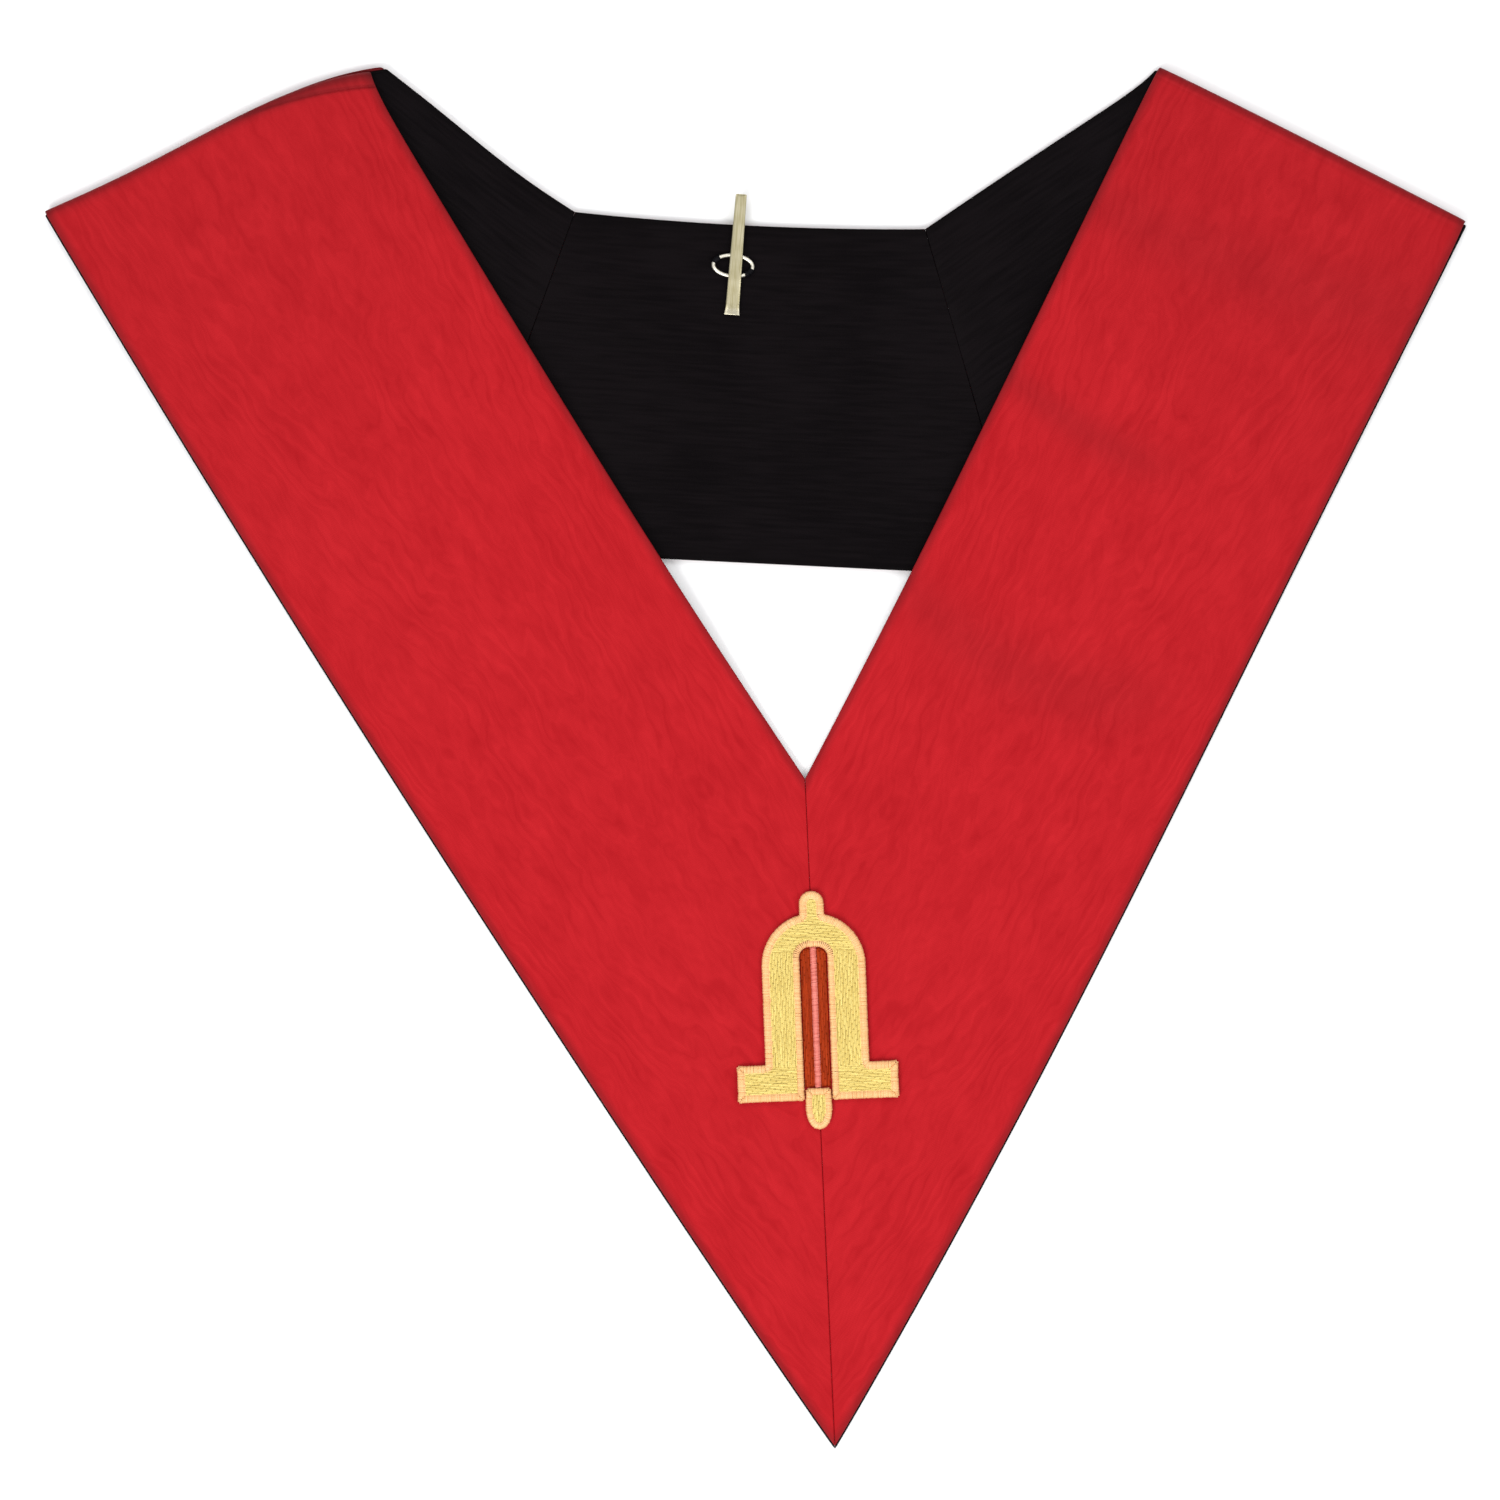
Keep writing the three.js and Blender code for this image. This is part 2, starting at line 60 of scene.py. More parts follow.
RIBBON_WIDTH = 102
WALL = 1
SEWN_GAP = 0.3
LAYER_GAP = 0.4
RIM = 0.5
NECK_EDGE = 104.5
NECK_DIP = 1.5
NECK_TILT = -2.8
SHOULDERS = {
    "left": dict(sign=-1, edge=71.9, rise=37.2, fall=23.2, ease=3.1, peep=4, bulge=3.6, bulge_at=0.27),
    "right": dict(sign=1, edge=84.8, rise=34.9, fall=26.7, ease=0.9, peep=0.4, bulge=0.3, bulge_at=0.4),
}
BULGE_RUN = 55
SHOULDER_EDGES = {
    "left": dict(bow=0.9, lean=-0.4, flare=0),
    "right": dict(bow=-0.4, lean=0, flare=2.3),
}
LIMBS = {
    "left": dict(
        edge=247.4, inner=dict(bow=1.7, lean=-0.2, flare=1.9), outer=dict(bow=3.7, lean=0.2, peak=0.54)
    ),
    "right": dict(
        edge=237, inner=dict(bow=0.9, lean=-0.2, flare=-0.4), outer=dict(bow=3.2, lean=-0.8, peak=0.54)
    ),
}
FLARE_RUN = 7
TIP_ANGLE = 61.3
TIP_TILT = 2.56
DROP_START = 6
DROP_RUN = 48
CORNER_SOFTNESS = 10
SWELLS = {
    "left": table(
        "inner outer length height", (0.14, 0.07, 0.06, 0.6), (0.4, 0.2, 0.09, 0.7), (0.68, 0.38, 0.09, 0.5)
    ),
    "right": table(
        "inner outer length height",
        (0.1, 0.05, 0.04, 0.7), (0.32, 0.15, 0.06, 1), (0.57, 0.27, 0.07, 1), (0.8, 0.45, 0.08, 0.6),
    ),
}
SWELL_START = 0.03
SWELL_END = 0.9

# Soft bands of painted shade across the limbs, where the watered cloth catches less light. inner and outer are
# shares of the limb's length at its two edges, and reach is the share of its width at which a band has run
# out.
PAINTED_SHADE_BANDS = {
    "left": table(
        "inner outer length depth reach",
        (0, 0, 0.3, 0.09, 1.4),
        (0.008, -0.012, 0.01, 0.3, 0.55),
        (0.019, -0.0242, 0.003, 0.34, 0.6),
    ),
    "right": table(
        "inner outer length depth reach",
        (0, 0, 0.3, 0.12, 1.4),
        (0.185, 0.082, 0.034, 0.11, 1.4),
        (0.43, 0.237, 0.02, 0.16, 0.7),
        (0.722, 0.388, 0.034, 0.12, 1),
    ),
}
BAND_FADE = 0.35
PLY = 2 * WALL + SEWN_GAP
LIFT = PLY + LAYER_GAP
FOLD_RADIUS = (PLY + LIFT) / 2

EMBLEM_DROP = 33.5
EMBLEM_TILT = 2.2
ARCH_WIDTH = 31
ARCH_HEIGHT = 55.8
ARCH_CROWN = 10.1
SLOT_WIDTH = 8.4
SLOT_CORNER = 3
FOOT_SPAN = 48
FOOT_HEIGHT = 11
KNOB_WIDTH = 7.4
KNOB_HEIGHT = 6.6
BOB_LENGTH = 12.3
BOB_RISE = 3.6
LINE_WIDTH = 1.7

CLIP_OFFSET = -3.2
CLIP_TILT = -4.5
CLIP_REACH = 7.6
CLIP_DROP = 28.5
CLIP_TOP_WIDTH = 3.3
CLIP_FOOT_WIDTH = 4.1
CLIP_LIP_WIDTH = 4.7
CLIP_LIP_LENGTH = 2.6
CLIP_LIP_RISE = 1
STRIP_WALL = 0.7
SOLDER = 0.15
RING_LENGTH = 12.9
RING_WIDTH = 7.4
RING_WIRE = 1.2
RING_DROP = 13.8
RING_OFFSET = -0.8

# Sizes that only the cloth's finish has

SEAM_GAP = 0.05  # sewn edges pressed against each other
EDGE_ROUND = 0.5  # the rounding of the cloth's edges, and of the ribbon's and the lining's seams
SEAM_ROUND = 0.32
LINING_SEAM_ROUND = 0.16
EDGE_PINCH = 0.11  # how far face and lining draw together where they are sewn along an edge
PINCH_RUN = 4
# EDGE_SHADE and FOLD_SHADE are painted shade: the cloth's colour is darkened towards its edges and its fold
EDGE_SHADE = 0.45  # how much darker the ribbon looks at its edges, and how far in
EDGE_SHADE_RUN = 3.2
FOLD_SHADE = 0.48  # the same at the fold, for the limbs and for the back portion under them
BACK_FOLD_SHADE = 0.85
FOLD_SHADE_RUN = 4
FACE_STEP = 1.5  # mesh fineness of the ribbon, and of the lining
LINING_STEP = 2.4
CREASE_STEP = 0.35
CREASE_RUN = 7
BORDER = np.array([0, 0.03, 0.12, 0.28, 0.5, 0.8, 1.3, 2, 3])  # places of mesh rows inside a border
ROLL_TURNS = np.array([0, 0.01, 0.04, 0.09, 0.16, 0.25, 0.35, 0.46, 0.58, 0.7, 0.8, 0.9])
PUCKER_HEIGHT = 0.3
PUCKER_LONG = 11.8
PUCKER_SHORT = 7.3
PUCKER_RUN = 9
EMBLEM_PRESS = 0.85  # how much flatter the gathers are under the embroidery, and how soon beyond it
EMBLEM_PRESS_RUN = 8

# Small undulations that every layer shares. heading is the way across the wave.
WAVES = table(
    "heading length height phase",
    (62, 61, 0.09, 0.6),
    (118, 47, 0.08, 2.1),
    (15, 38, 0.06, 4.4),
    (84, 29, 0.05, 1.3),
    (151, 23, 0.04, 5.2),
    (37, 17, 0.025, 3.7),
)

# Soft creases pressed into the black lining of the back, from place to place in the model's frame
LINING_CREASES = table(
    "start end width depth",
    ((2.5, 152), (0.4, 62), 2.6, 0.38),
    ((-60.7, 149.6), (-70.5, 126), 2.2, 0.34),
    ((53, 152), (66, 104), 2.6, 0.42),
    ((-30, 96), (-12, 60), 4, 0.2),
    ((33, 140), (26, 84), 4.5, 0.16),
)
CREASE_SWAY = 1.5  # how far a crease wanders to its sides, and how soon
CREASE_SWAY_RUN = 17


def lerp(a, b, share):
    return a + (b - a) * share


def smoothstep(x, low, high):
    t = np.clip((x - low) / (high - low), 0, 1)
    return t * t * (3 - 2 * t)


def heading(degrees, sign=1):
    turn = math.radians(degrees)
    return np.array([sign * math.cos(turn), math.sin(turn)])


def unit(start, end):
    return (end - start) / np.linalg.norm(end - start, axis=-1, keepdims=True)


def left_of(along):
    return np.stack([-along[..., 1], along[..., 0]], axis=-1)


def cross(a, b):
    return a[0] * b[1] - a[1] * b[0]


def hump(share, peak):
    """A skewed hump that is 0 at both ends and 1 at its peak."""
    return share / peak * ((1 - share) / (1 - peak)) ** ((1 - peak) / peak)


# Corners of the outline, first with the middle of the neck edge at 0, 0


def back_corners(sign, edge, rise, fall, peep, **_):
    band = sign * heading(NECK_TILT)
    neck = band * NECK_EDGE / 2
    edge_heading = heading(rise, sign)
    mean = (band + edge_heading) / np.linalg.norm(band + edge_heading)
    foot = neck - sign * left_of(mean) * RIBBON_WIDTH / (mean @ band)
    inner = neck + edge_heading * edge
    seam = heading(-fall, sign)
    return SimpleNamespace(sign=sign, neck=neck, foot=foot, inner=inner, seam=seam, limb=inner + seam * peep)


def lower_meeting(a, radius_a, b, radius_b):
    """Where two circles meet, on the side away from the neck."""
    apart = np.linalg.norm(b - a)
    along = (apart**2 + radius_a**2 - radius_b**2) / (2 * apart)
    across = math.sqrt(radius_a**2 - along**2)
    return a + unit(a, b) * along - left_of(unit(a, b)) * across


corners = {side: back_corners(**SHOULDERS[side]) for side in SHOULDERS}
v_point = lower_meeting(
    corners["left"].limb, LIMBS["left"]["edge"], corners["right"].limb, LIMBS["right"]["edge"]
)
centre_seam = heading(TIP_TILT - 90)
tip = v_point + centre_seam * RIBBON_WIDTH / math.sin(math.radians(TIP_ANGLE / 2))
for side, corner in corners.items():
    slant = abs(cross(corner.seam, unit(corner.limb, v_point)))
    corner.outer = corner.limb + corner.seam * (RIBBON_WIDTH + SHOULDERS[side]["ease"]) / slant


def seam_ends(a, b, into, gap):
    """Both ends of a sewn line, moved into the panel by half the gap of the seam."""
    normal = left_of(unit(a, b))
    way = np.sign(normal @ (into - a))
    return [end + normal * way * gap / 2 for end in (a, b)]


def band_ends(gap):
    left, right = corners["left"], corners["right"]
    return [
        *seam_ends(left.neck, left.foot, right.neck, gap),
        *seam_ends(right.neck, right.foot, left.neck, gap),
    ]


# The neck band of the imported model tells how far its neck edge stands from 0, 0
band_low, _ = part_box("neck_band_lining")
origin = np.array([band_low.x, band_low.y]) / MM - np.min(band_ends(SEWN_GAP), axis=0)
for corner in corners.values():
    for name in ("neck", "foot", "inner", "limb", "outer"):
        setattr(corner, name, getattr(corner, name) + origin)
v_point = v_point + origin
tip = tip + origin


# Heights


def waves(plan):
    """The small undulations of the laid cloth, never below 0."""
    total = sum(wave["height"] for wave in WAVES)
    for wave in WAVES:
        along = plan @ heading(wave["heading"])
        total = total + wave["height"] * np.sin(2 * np.pi * along / wave["length"] + wave["phase"])
    return total / 2


def limb_drop(plan):
    """How far a limb has come down from the back portion that it lies on."""
    left, right = corners["left"], corners["right"]
    past = [
        (plan - start) @ -left_of(unit(start, end))
        for start, end in [(left.outer, left.foot), (left.foot, right.foot), (right.foot, right.outer)]
    ]
    rounded = past[0]
    for other in past[1:]:
        rounded = (rounded + other + np.hypot(rounded - other, CORNER_SOFTNESS)) / 2
    return LIFT * smoothstep(rounded, DROP_START, DROP_START + DROP_RUN)


def swell_height(side, share, across):
    total = np.zeros(across.shape)
    for swell in SWELLS[side]:
        off = share - lerp(swell["inner"], swell["outer"], across)
        total += swell["height"] * np.exp(-((off / swell["length"]) ** 2))
    return total * (1 - smoothstep(share, SWELL_END / 2, SWELL_END))


def pucker(plan, start, end):
    """Small gathers beside a sewn line, as height above its lowest point."""
    along = (plan - start) @ unit(start, end)
    away = np.abs((plan - start) @ left_of(unit(start, end)))
    long_wave = np.sin(2 * np.pi * along / PUCKER_LONG)
    short_wave = np.sin(2 * np.pi * along / PUCKER_SHORT)
    near = np.exp(-away / PUCKER_RUN) * smoothstep(away, 0, PUCKER_RUN / 3)
    return PUCKER_HEIGHT * (2 + long_wave + short_wave) / 4 * near


def under_emblem(plan):
    """1 under the embroidery and 0 away from it, along the centre seam."""
    along = (plan - v_point) @ centre_seam
    low = EMBLEM_DROP + KNOB_HEIGHT + ARCH_HEIGHT + BOB_LENGTH - BOB_RISE
    above = smoothstep(along, EMBLEM_DROP - EMBLEM_PRESS_RUN, EMBLEM_DROP)
    return above * (1 - smoothstep(along, low, low + EMBLEM_PRESS_RUN))


# Panels of ribbon. A panel runs from its start line to its end line, between its inner and outer edge.


def bowed_edge(start, end, sign, bow=0, lean=0, flare=0, peak=0.5):
    out = sign * left_of(unit(start, end))
    length = np.linalg.norm(end - start)

    def at(share):
        flared = flare * (1 - share) * (1 - np.exp(-share * length / FLARE_RUN))
        offset = bow * hump(share, peak) + lean * np.sin(2 * np.pi * share) + flared
        return lerp(start, end, share[..., None]) + offset[..., None] * out

    return at


def shoulder_bulge(side):
    shoulder = SHOULDERS[side]
    out = shoulder["sign"] * left_of(corners[side].seam)

    def at(away, across):
        fade = 1 - smoothstep(away, 0, BULGE_RUN)
        return (shoulder["bulge"] * fade * hump(across, shoulder["bulge_at"]))[..., None] * out

    return at


def ribbon_panel(inner, outer, inner_bow, outer_bow, rise, side=None, fold_shade=0, bands=()):
    """A panel from the ends and the bows of its two edges. It starts at a fold where a side is named."""
    sign = corners[side].sign if side else -1
    lengths = np.array([np.linalg.norm(end - start) for start, end in (inner, outer)])
    runs = lengths
    if side:
        runs = [abs(cross(end - start, corners[side].seam)) for start, end in (inner, outer)]
    along = unit(*inner)
    return SimpleNamespace(
        inner=bowed_edge(*inner, sign, **inner_bow),
        outer=bowed_edge(*outer, sign, **outer_bow),
        lengths=lengths,
        inner_run=runs[0],
        outer_run=runs[1],
        run=(runs[0] + runs[1]) / 2,
        shift=shoulder_bulge(side) if side else lambda away, across: np.zeros(2),
        rise=rise,
        bands=bands,
        fold_shade=fold_shade,
        folded=side is not None,
        start=inner[0],
        along=along,
        end_slant=abs(cross(along, unit(inner[1], outer[1]))),
    )


def limb_panel(side):
    corner = corners[side]
    v, point = seam_ends(v_point, tip, corner.limb, SEAM_GAP)

    def rise(plan, share, across):
        fade = smoothstep(share, 0, SWELL_START)
        gathers = pucker(plan, v_point, tip) * (1 - EMBLEM_PRESS * under_emblem(plan))
        return fade * swell_height(side, share, across) - limb_drop(plan) + gathers

    return ribbon_panel(
        (corner.limb, v), (corner.outer, point), LIMBS[side]["inner"], LIMBS[side]["outer"],
        rise, side, FOLD_SHADE, PAINTED_SHADE_BANDS[side],
    )


def shoulder_panel(side):
    corner = corners[side]
    neck, foot = seam_ends(corner.neck, corner.foot, corner.outer, SEAM_GAP)

    def rise(plan, share, across):
        return pucker(plan, corner.neck, corner.foot)

    ends = (corner.inner, neck), (corner.outer, foot)
    return ribbon_panel(*ends, SHOULDER_EDGES[side], {}, rise, side, BACK_FOLD_SHADE)


def band_panel():
    left, right = corners["left"], corners["right"]
    neck_left, foot_left, neck_right, foot_right = band_ends(SEAM_GAP)

    def rise(plan, share, across):
        return pucker(plan, left.neck, left.foot) + pucker(plan, right.neck, right.foot)

    return ribbon_panel((neck_left, neck_right), (foot_left, foot_right), dict(bow=NECK_DIP), {}, rise)


# Meshes of cloth


def spaced(length, step, start=BORDER, end=BORDER):
    """Places from 0 to length, about step apart, with the given places inside each end."""
    middle = np.linspace(start[-1], length - end[-1], max(2, round((length - start[-1] - end[-1]) / step)))
    return np.concatenate([start[:-1], middle, length - end[-2::-1]])


def panel_rows(panel, step):
    """Turn in the roll at the fold, and share of the flat stretch behind it, for each row of the mesh."""
    end = BORDER / panel.end_slant
    if not panel.folded:
        share = spaced(panel.run, step, end, end) / panel.run
        return np.ones_like(share), share
    crease = np.arange(0, CREASE_RUN, CREASE_STEP)
    flat = spaced(panel.run, step, crease, end) / panel.run
    turn = np.concatenate([ROLL_TURNS, np.ones_like(flat)])
    return turn, np.concatenate([np.zeros_like(ROLL_TURNS), flat])


def rounding(away, run):
    """The share of its thickness that cloth has at a distance from its border."""
    inward = 1 - np.clip(away / run, 0, 1)
    return np.sqrt(1 - inward**2)


def shading(panel, across, side_away, fold_away):
    """How much painted shade a panel gets, from 0 to 1: at its edges, at its fold and in its bands."""
    light = 1 - EDGE_SHADE * (1 - smoothstep(side_away, 0, EDGE_SHADE_RUN))
    if panel.folded:
        light = light * (1 - panel.fold_shade * (1 - smoothstep(fold_away, 0, FOLD_SHADE_RUN)))
    for band in panel.bands:
        off = fold_away / panel.inner_run - lerp(band["inner"], band["outer"], across)
        fade = 1 - smoothstep(across, band["reach"] - BAND_FADE, band["reach"])
        light = light * (1 - band["depth"] * fade * np.exp(-((off / band["length"]) ** 2)))
    return 1 - light


def place(panel, turn, share, across, level, inset_inner, inset_outer):
    """Where the cloth is, for each row and column, at the given heights above the table."""
    reach = np.zeros_like(level)
    height = level
    if panel.folded:
        from_fold = level - FOLD_RADIUS
        radius = np.abs(from_fold)
        angle = lerp(np.arcsin(SEAM_GAP / 2 / radius), np.pi / 2, turn)
        reach = FOLD_RADIUS - radius * np.cos(angle)
        height = FOLD_RADIUS + np.sign(from_fold) * radius * np.sin(angle)
    inner_share = lerp(reach / panel.inner_run, 1, share)
    outer_share = lerp(reach / panel.outer_run, 1, share)
    ruled = lerp(inset_inner / RIBBON_WIDTH, 1 - inset_outer / RIBBON_WIDTH, across)
    plan = lerp(panel.inner(inner_share), panel.outer(outer_share), ruled[..., None])
    plan = plan + panel.shift(inner_share * panel.inner_run, across)
    height = height + panel.rise(plan, share, across) + waves(plan)
    return np.concatenate([plan, height[..., None]], axis=-1), inner_share * panel.inner_run


def grid_faces(rows, columns):
    """Both sides of a closed wall between two grids that share their border."""
    top = np.arange(rows * columns).reshape(rows, columns)
    under = top.copy()
    inside = (rows - 2) * (columns - 2)
    under[1:-1, 1:-1] = rows * columns + np.arange(inside).reshape(rows - 2, columns - 2)
    over = np.stack([top[:-1, :-1], top[:-1, 1:], top[1:, 1:], top[1:, :-1]], axis=-1).reshape(-1, 4)
    below = np.stack([under[:-1, :-1], under[1:, :-1], under[1:, 1:], under[:-1, 1:]], axis=-1).reshape(-1, 4)
    return over, below


def cut_corners(quads, shape):
    """Faces with the quads at a grid's four corners cut in two, from the corner inwards, so that the two
    sides of a wall have no triangle in common there."""
    grid = np.arange(math.prod(shape)).reshape(shape)
    at_corner = np.isin(quads, grid[[0, 0, -1, -1], [0, -1, 0, -1]])
    whole = ~at_corner.any(axis=1)
    faces = quads[whole].tolist()
    for quad, at in zip(quads[~whole], at_corner[~whole]):
        a, b, c, d = np.roll(quad, -at.argmax()).tolist()
        faces += [[a, b, c], [a, c, d]]
    return faces


def new_object(name, points, faces, materials, uv=None, uv_name="ribbon", slots=None):
    """An object from points in millimetres. uv holds one pair a point, slots one material number a face."""
    mesh = bpy.data.meshes.new(name)
    mesh.from_pydata((np.asarray(points) * MM).tolist(), [], [list(face) for face in faces])
    for material in materials:
        mesh.materials.append(material)
    if uv is not None:
        corner_points = np.empty(len(mesh.loops), dtype=np.int32)
        mesh.loops.foreach_get("vertex_index", corner_points)
        layer = mesh.uv_layers.new(name=uv_name)
        layer.data.foreach_set("uv", np.asarray(uv)[corner_points].astype(np.float32).ravel())
    if slots is not None:
        mesh.polygons.foreach_set("material_index", np.asarray(slots, dtype=np.int32))
    mesh.shade_smooth()
    mesh.update()
    made = bpy.data.objects.new(name, mesh)
    bpy.context.scene.collection.objects.link(made)
    return made


def give_points(made, name, values):
    """A number for each point, for the materials to read."""
    attribute = made.data.attributes.new(name, "FLOAT", "POINT")
    attribute.data.foreach_set("value", np.asarray(values).astype(np.float32))


def signed_volume(points, quads):
    a, b, c, d = (points[quads[:, k]] for k in range(4))
    return np.sum(a * np.cross(b, c)) + np.sum(a * np.cross(c, d))


def cloth(name, panel, low, step, material, insets, pinch, relief):
    """One layer of a panel, from the height low. insets give how far it stays inside the panel's inner and
    outer edge, pinch the way its edges are drawn, and relief the depth pressed into its upper side."""
    turn, share = panel_rows(panel, step)
    across = spaced(RIBBON_WIDTH, step) / RIBBON_WIDTH
    turn, share, across = np.broadcast_arrays(turn[:, None], share[:, None], across[None, :])
    middle = low + WALL / 2
    side_away = np.minimum(across, 1 - across) * RIBBON_WIDTH
    start_away = share * panel.run * panel.end_slant
    if panel.folded:
        start_away = start_away + turn * abs(middle - FOLD_RADIUS) * np.pi / 2
    end_away = (1 - share) * panel.run * panel.end_slant
    seam_round = SEAM_ROUND if material is RED else LINING_SEAM_ROUND
    seams = rounding(start_away, seam_round) * rounding(end_away, seam_round)
    border = rounding(side_away, EDGE_ROUND) * seams
    thick = border * WALL / 2
    drawn = middle + pinch * EDGE_PINCH * np.exp(-side_away / PINCH_RUN)
    inner, outer = insets(share * panel.run)
    top, away = place(panel, turn, share, across, drawn + thick, inner, outer)
    bottom, _ = place(panel, turn, share, across, drawn - thick, inner, outer)
    top[..., 2] -= border * relief(top[..., :2], away, across)
    over, below = grid_faces(*across.shape)
    points = np.concatenate([top.reshape(-1, 3), bottom[1:-1, 1:-1].reshape(-1, 3)])
    width = np.concatenate([across.ravel(), across[1:-1, 1:-1].ravel()]) * RIBBON_WIDTH
    uv = np.stack([width, (points[:, :2] - panel.start) @ panel.along], axis=-1) * MM
    faces = np.concatenate([over, below])
    if signed_volume(points, faces) < 0:
        faces = faces[:, ::-1]
    made = new_object(name, points, cut_corners(faces, across.shape), [material], uv)
    # painted shade at the edges, the fold and the bands, for the materials to darken their colour with
    shade = shading(panel, across, side_away, away)
    give_points(made, "shade", np.concatenate([shade.ravel(), shade[1:-1, 1:-1].ravel()]))
    return made


def stands_for(made, node):
    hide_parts(node)
    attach(made, "root")


def declare_cloth(made, node):
    """Hides the imported part that a layer stands for, and hangs the layer under the root."""
    stands_for(made, node)


# Materials


class Nodes:
    """A material and a short way to write its nodes."""

    def __init__(self, name):
        self.material = bpy.data.materials.new(name)
        self.material.use_nodes = True
        self.tree = self.material.node_tree
        self.shader = self.tree.nodes["Principled BSDF"]

    def feed(self, socket, value):
        if isinstance(value, bpy.types.NodeSocket):
            self.tree.links.new(value, socket)
        else:
            socket.default_value = value

    def add(self, kind, inputs, **settings):
        node = self.tree.nodes.new(kind)
        for name, value in settings.items():
            setattr(node, name, value)
        for name, value in inputs.items():
            self.feed(node.inputs[name], value)
        return node

    def math(self, operation, a, b=0.0):
        return self.add("ShaderNodeMath", {0: a, 1: b}, operation=operation).outputs[0]

    def total(self, *values):
        result = values[0]
        for value in values[1:]:
            result = self.math("ADD", result, value)
        return result

    def times(self, a, b):
        return self.math("MULTIPLY", a, b)

    def wave(self, phase):
        """1 at the crests and -1 in the troughs, for a phase in whole turns."""
        return self.math("SINE", self.times(phase, 2 * math.pi))

    def span(self, value, low, high, to_low=0.0, to_high=1.0):
        """Maps low..high to to_low..to_high, smoothly and without going past either end."""
        inputs = {"Value": value, "From Min": low, "From Max": high, "To Min": to_low, "To Max": to_high}
        return self.add("ShaderNodeMapRange", inputs, interpolation_type="SMOOTHSTEP").outputs["Result"]

    def place(self, name):
        """The two coordinates of a UV map."""
        uv = self.add("ShaderNodeUVMap", {}, uv_map=name).outputs["UV"]
        split = self.add("ShaderNodeSeparateXYZ", {"Vector": uv})
        return split.outputs["X"], split.outputs["Y"]

    def point_value(self, name):
        return self.add("ShaderNodeAttribute", {}, attribute_name=name).outputs["Fac"]

    def joined(self, x, y, z=0.0):
        return self.add("ShaderNodeCombineXYZ", {"X": x, "Y": y, "Z": z}).outputs["Vector"]

    def noise(self, vector, scale, detail=2.0):
        inputs = {"Vector": vector, "Scale": scale, "Detail": detail}
        return self.add("ShaderNodeTexNoise", inputs).outputs["Fac"]

    def object_noise(self, scale, detail=2.0):
        return self.noise(self.add("ShaderNodeTexCoord", {}).outputs["Object"], scale, detail)

    def mix(self, share, a, b):
        inputs = {0: share, 6: a, 7: b}
        return self.add("ShaderNodeMix", inputs, data_type="RGBA", clamp_factor=True).outputs[2]

    def bump(self, height, distance, strength=1.0):
        inputs = {"Height": height, "Distance": distance, "Strength": strength}
        self.feed(self.shader.inputs["Normal"], self.add("ShaderNodeBump", inputs).outputs["Normal"])

    def finish(self, color, **values):
        self.feed(self.shader.inputs["Base Color"], color)
        for name, value in values.items():
            self.feed(self.shader.inputs[name.replace("_", " ")], value)
        return self.material


# Watered ribbon: fine ribs across its length, pressed flat along nested curves that point along it.
# The curves crowd together towards both edges of the ribbon.
RIB_PITCH = 0.62 * MM
CURVES_EDGE = 12  # curves between the middle of the ribbon and its edge
CURVE_PITCH = 34 * MM  # along the middle of the ribbon
RED_DEEP = (0.33, 0.0046, 0.0084, 1)
RED_CLEAR = (0.432, 0.0102, 0.0152, 1)
# RED_SHADED is the ribbon's colour under full painted shade
RED_SHADED = (0.03, 0.006, 0.007, 1)


def moire_material():
    n = Nodes("red_moire")
    across, along = n.place("ribbon")

    def mottle(over, down, seed, detail):
        """Noise with so many patches a metre across the ribbon and along it."""
        return n.noise(n.joined(n.times(across, over), n.times(along, down), seed), 1.0, detail)

    from_middle = n.math("SUBTRACT", n.math("DIVIDE", across, RIBBON_WIDTH * MM / 2), 1.0)
    bowl = n.times(n.math("POWER", n.math("ABSOLUTE", from_middle), 1.5), CURVES_EDGE)
    drift = mottle(30.0, 9.0, 0.0, 1.0)
    wander = mottle(150.0, 60.0, 4.0, 2.0)
    phase = n.total(bowl, n.times(along, 1 / CURVE_PITCH), n.times(drift, 9.0), n.times(wander, 2.6))
    strength = n.span(mottle(60.0, 25.0, 9.0, 2.0), 0.38, 0.6, 0.1, 1.0)
    watering = n.times(n.wave(phase), strength)
    second = n.times(n.wave(n.total(n.times(phase, 1.93), n.times(wander, 3.0))), 0.5)
    figure = n.times(n.math("ADD", watering, second), 0.5)
    cloud = n.math("SUBTRACT", mottle(140.0, 58.0, 2.0, 3.0), 0.5)
    wide_cloud = n.math("SUBTRACT", mottle(24.0, 12.0, 12.0, 2.0), 0.5)
    flecks = n.math("SUBTRACT", mottle(420.0, 120.0, 6.0, 2.0), 0.5)
    share = n.total(
        n.times(figure, 0.3), n.times(cloud, 1.05), n.times(wide_cloud, 0.35), n.times(flecks, 0.7), 0.5
    )
    ribs = n.wave(n.times(along, 1 / RIB_PITCH))
    threads = n.wave(n.times(across, 1 / (0.7 * RIB_PITCH)))
    n.bump(n.total(n.times(ribs, 0.5), n.times(threads, 0.18), n.times(figure, 0.5)), 0.04 * MM, 0.5)
    # the shade attribute darkens the ribbon toward RED_SHADED: painted shade at edges, fold and bands
    return n.finish(
        n.mix(n.point_value("shade"), n.mix(share, RED_DEEP, RED_CLEAR), RED_SHADED),
        Roughness=n.span(figure, -1.0, 1.0, 0.6, 0.5),
        Specular_IOR_Level=0.06,
        Sheen_Weight=0.05,
        Sheen_Roughness=0.45,
        Sheen_Tint=(1.0, 0.3, 0.32, 1),
    )


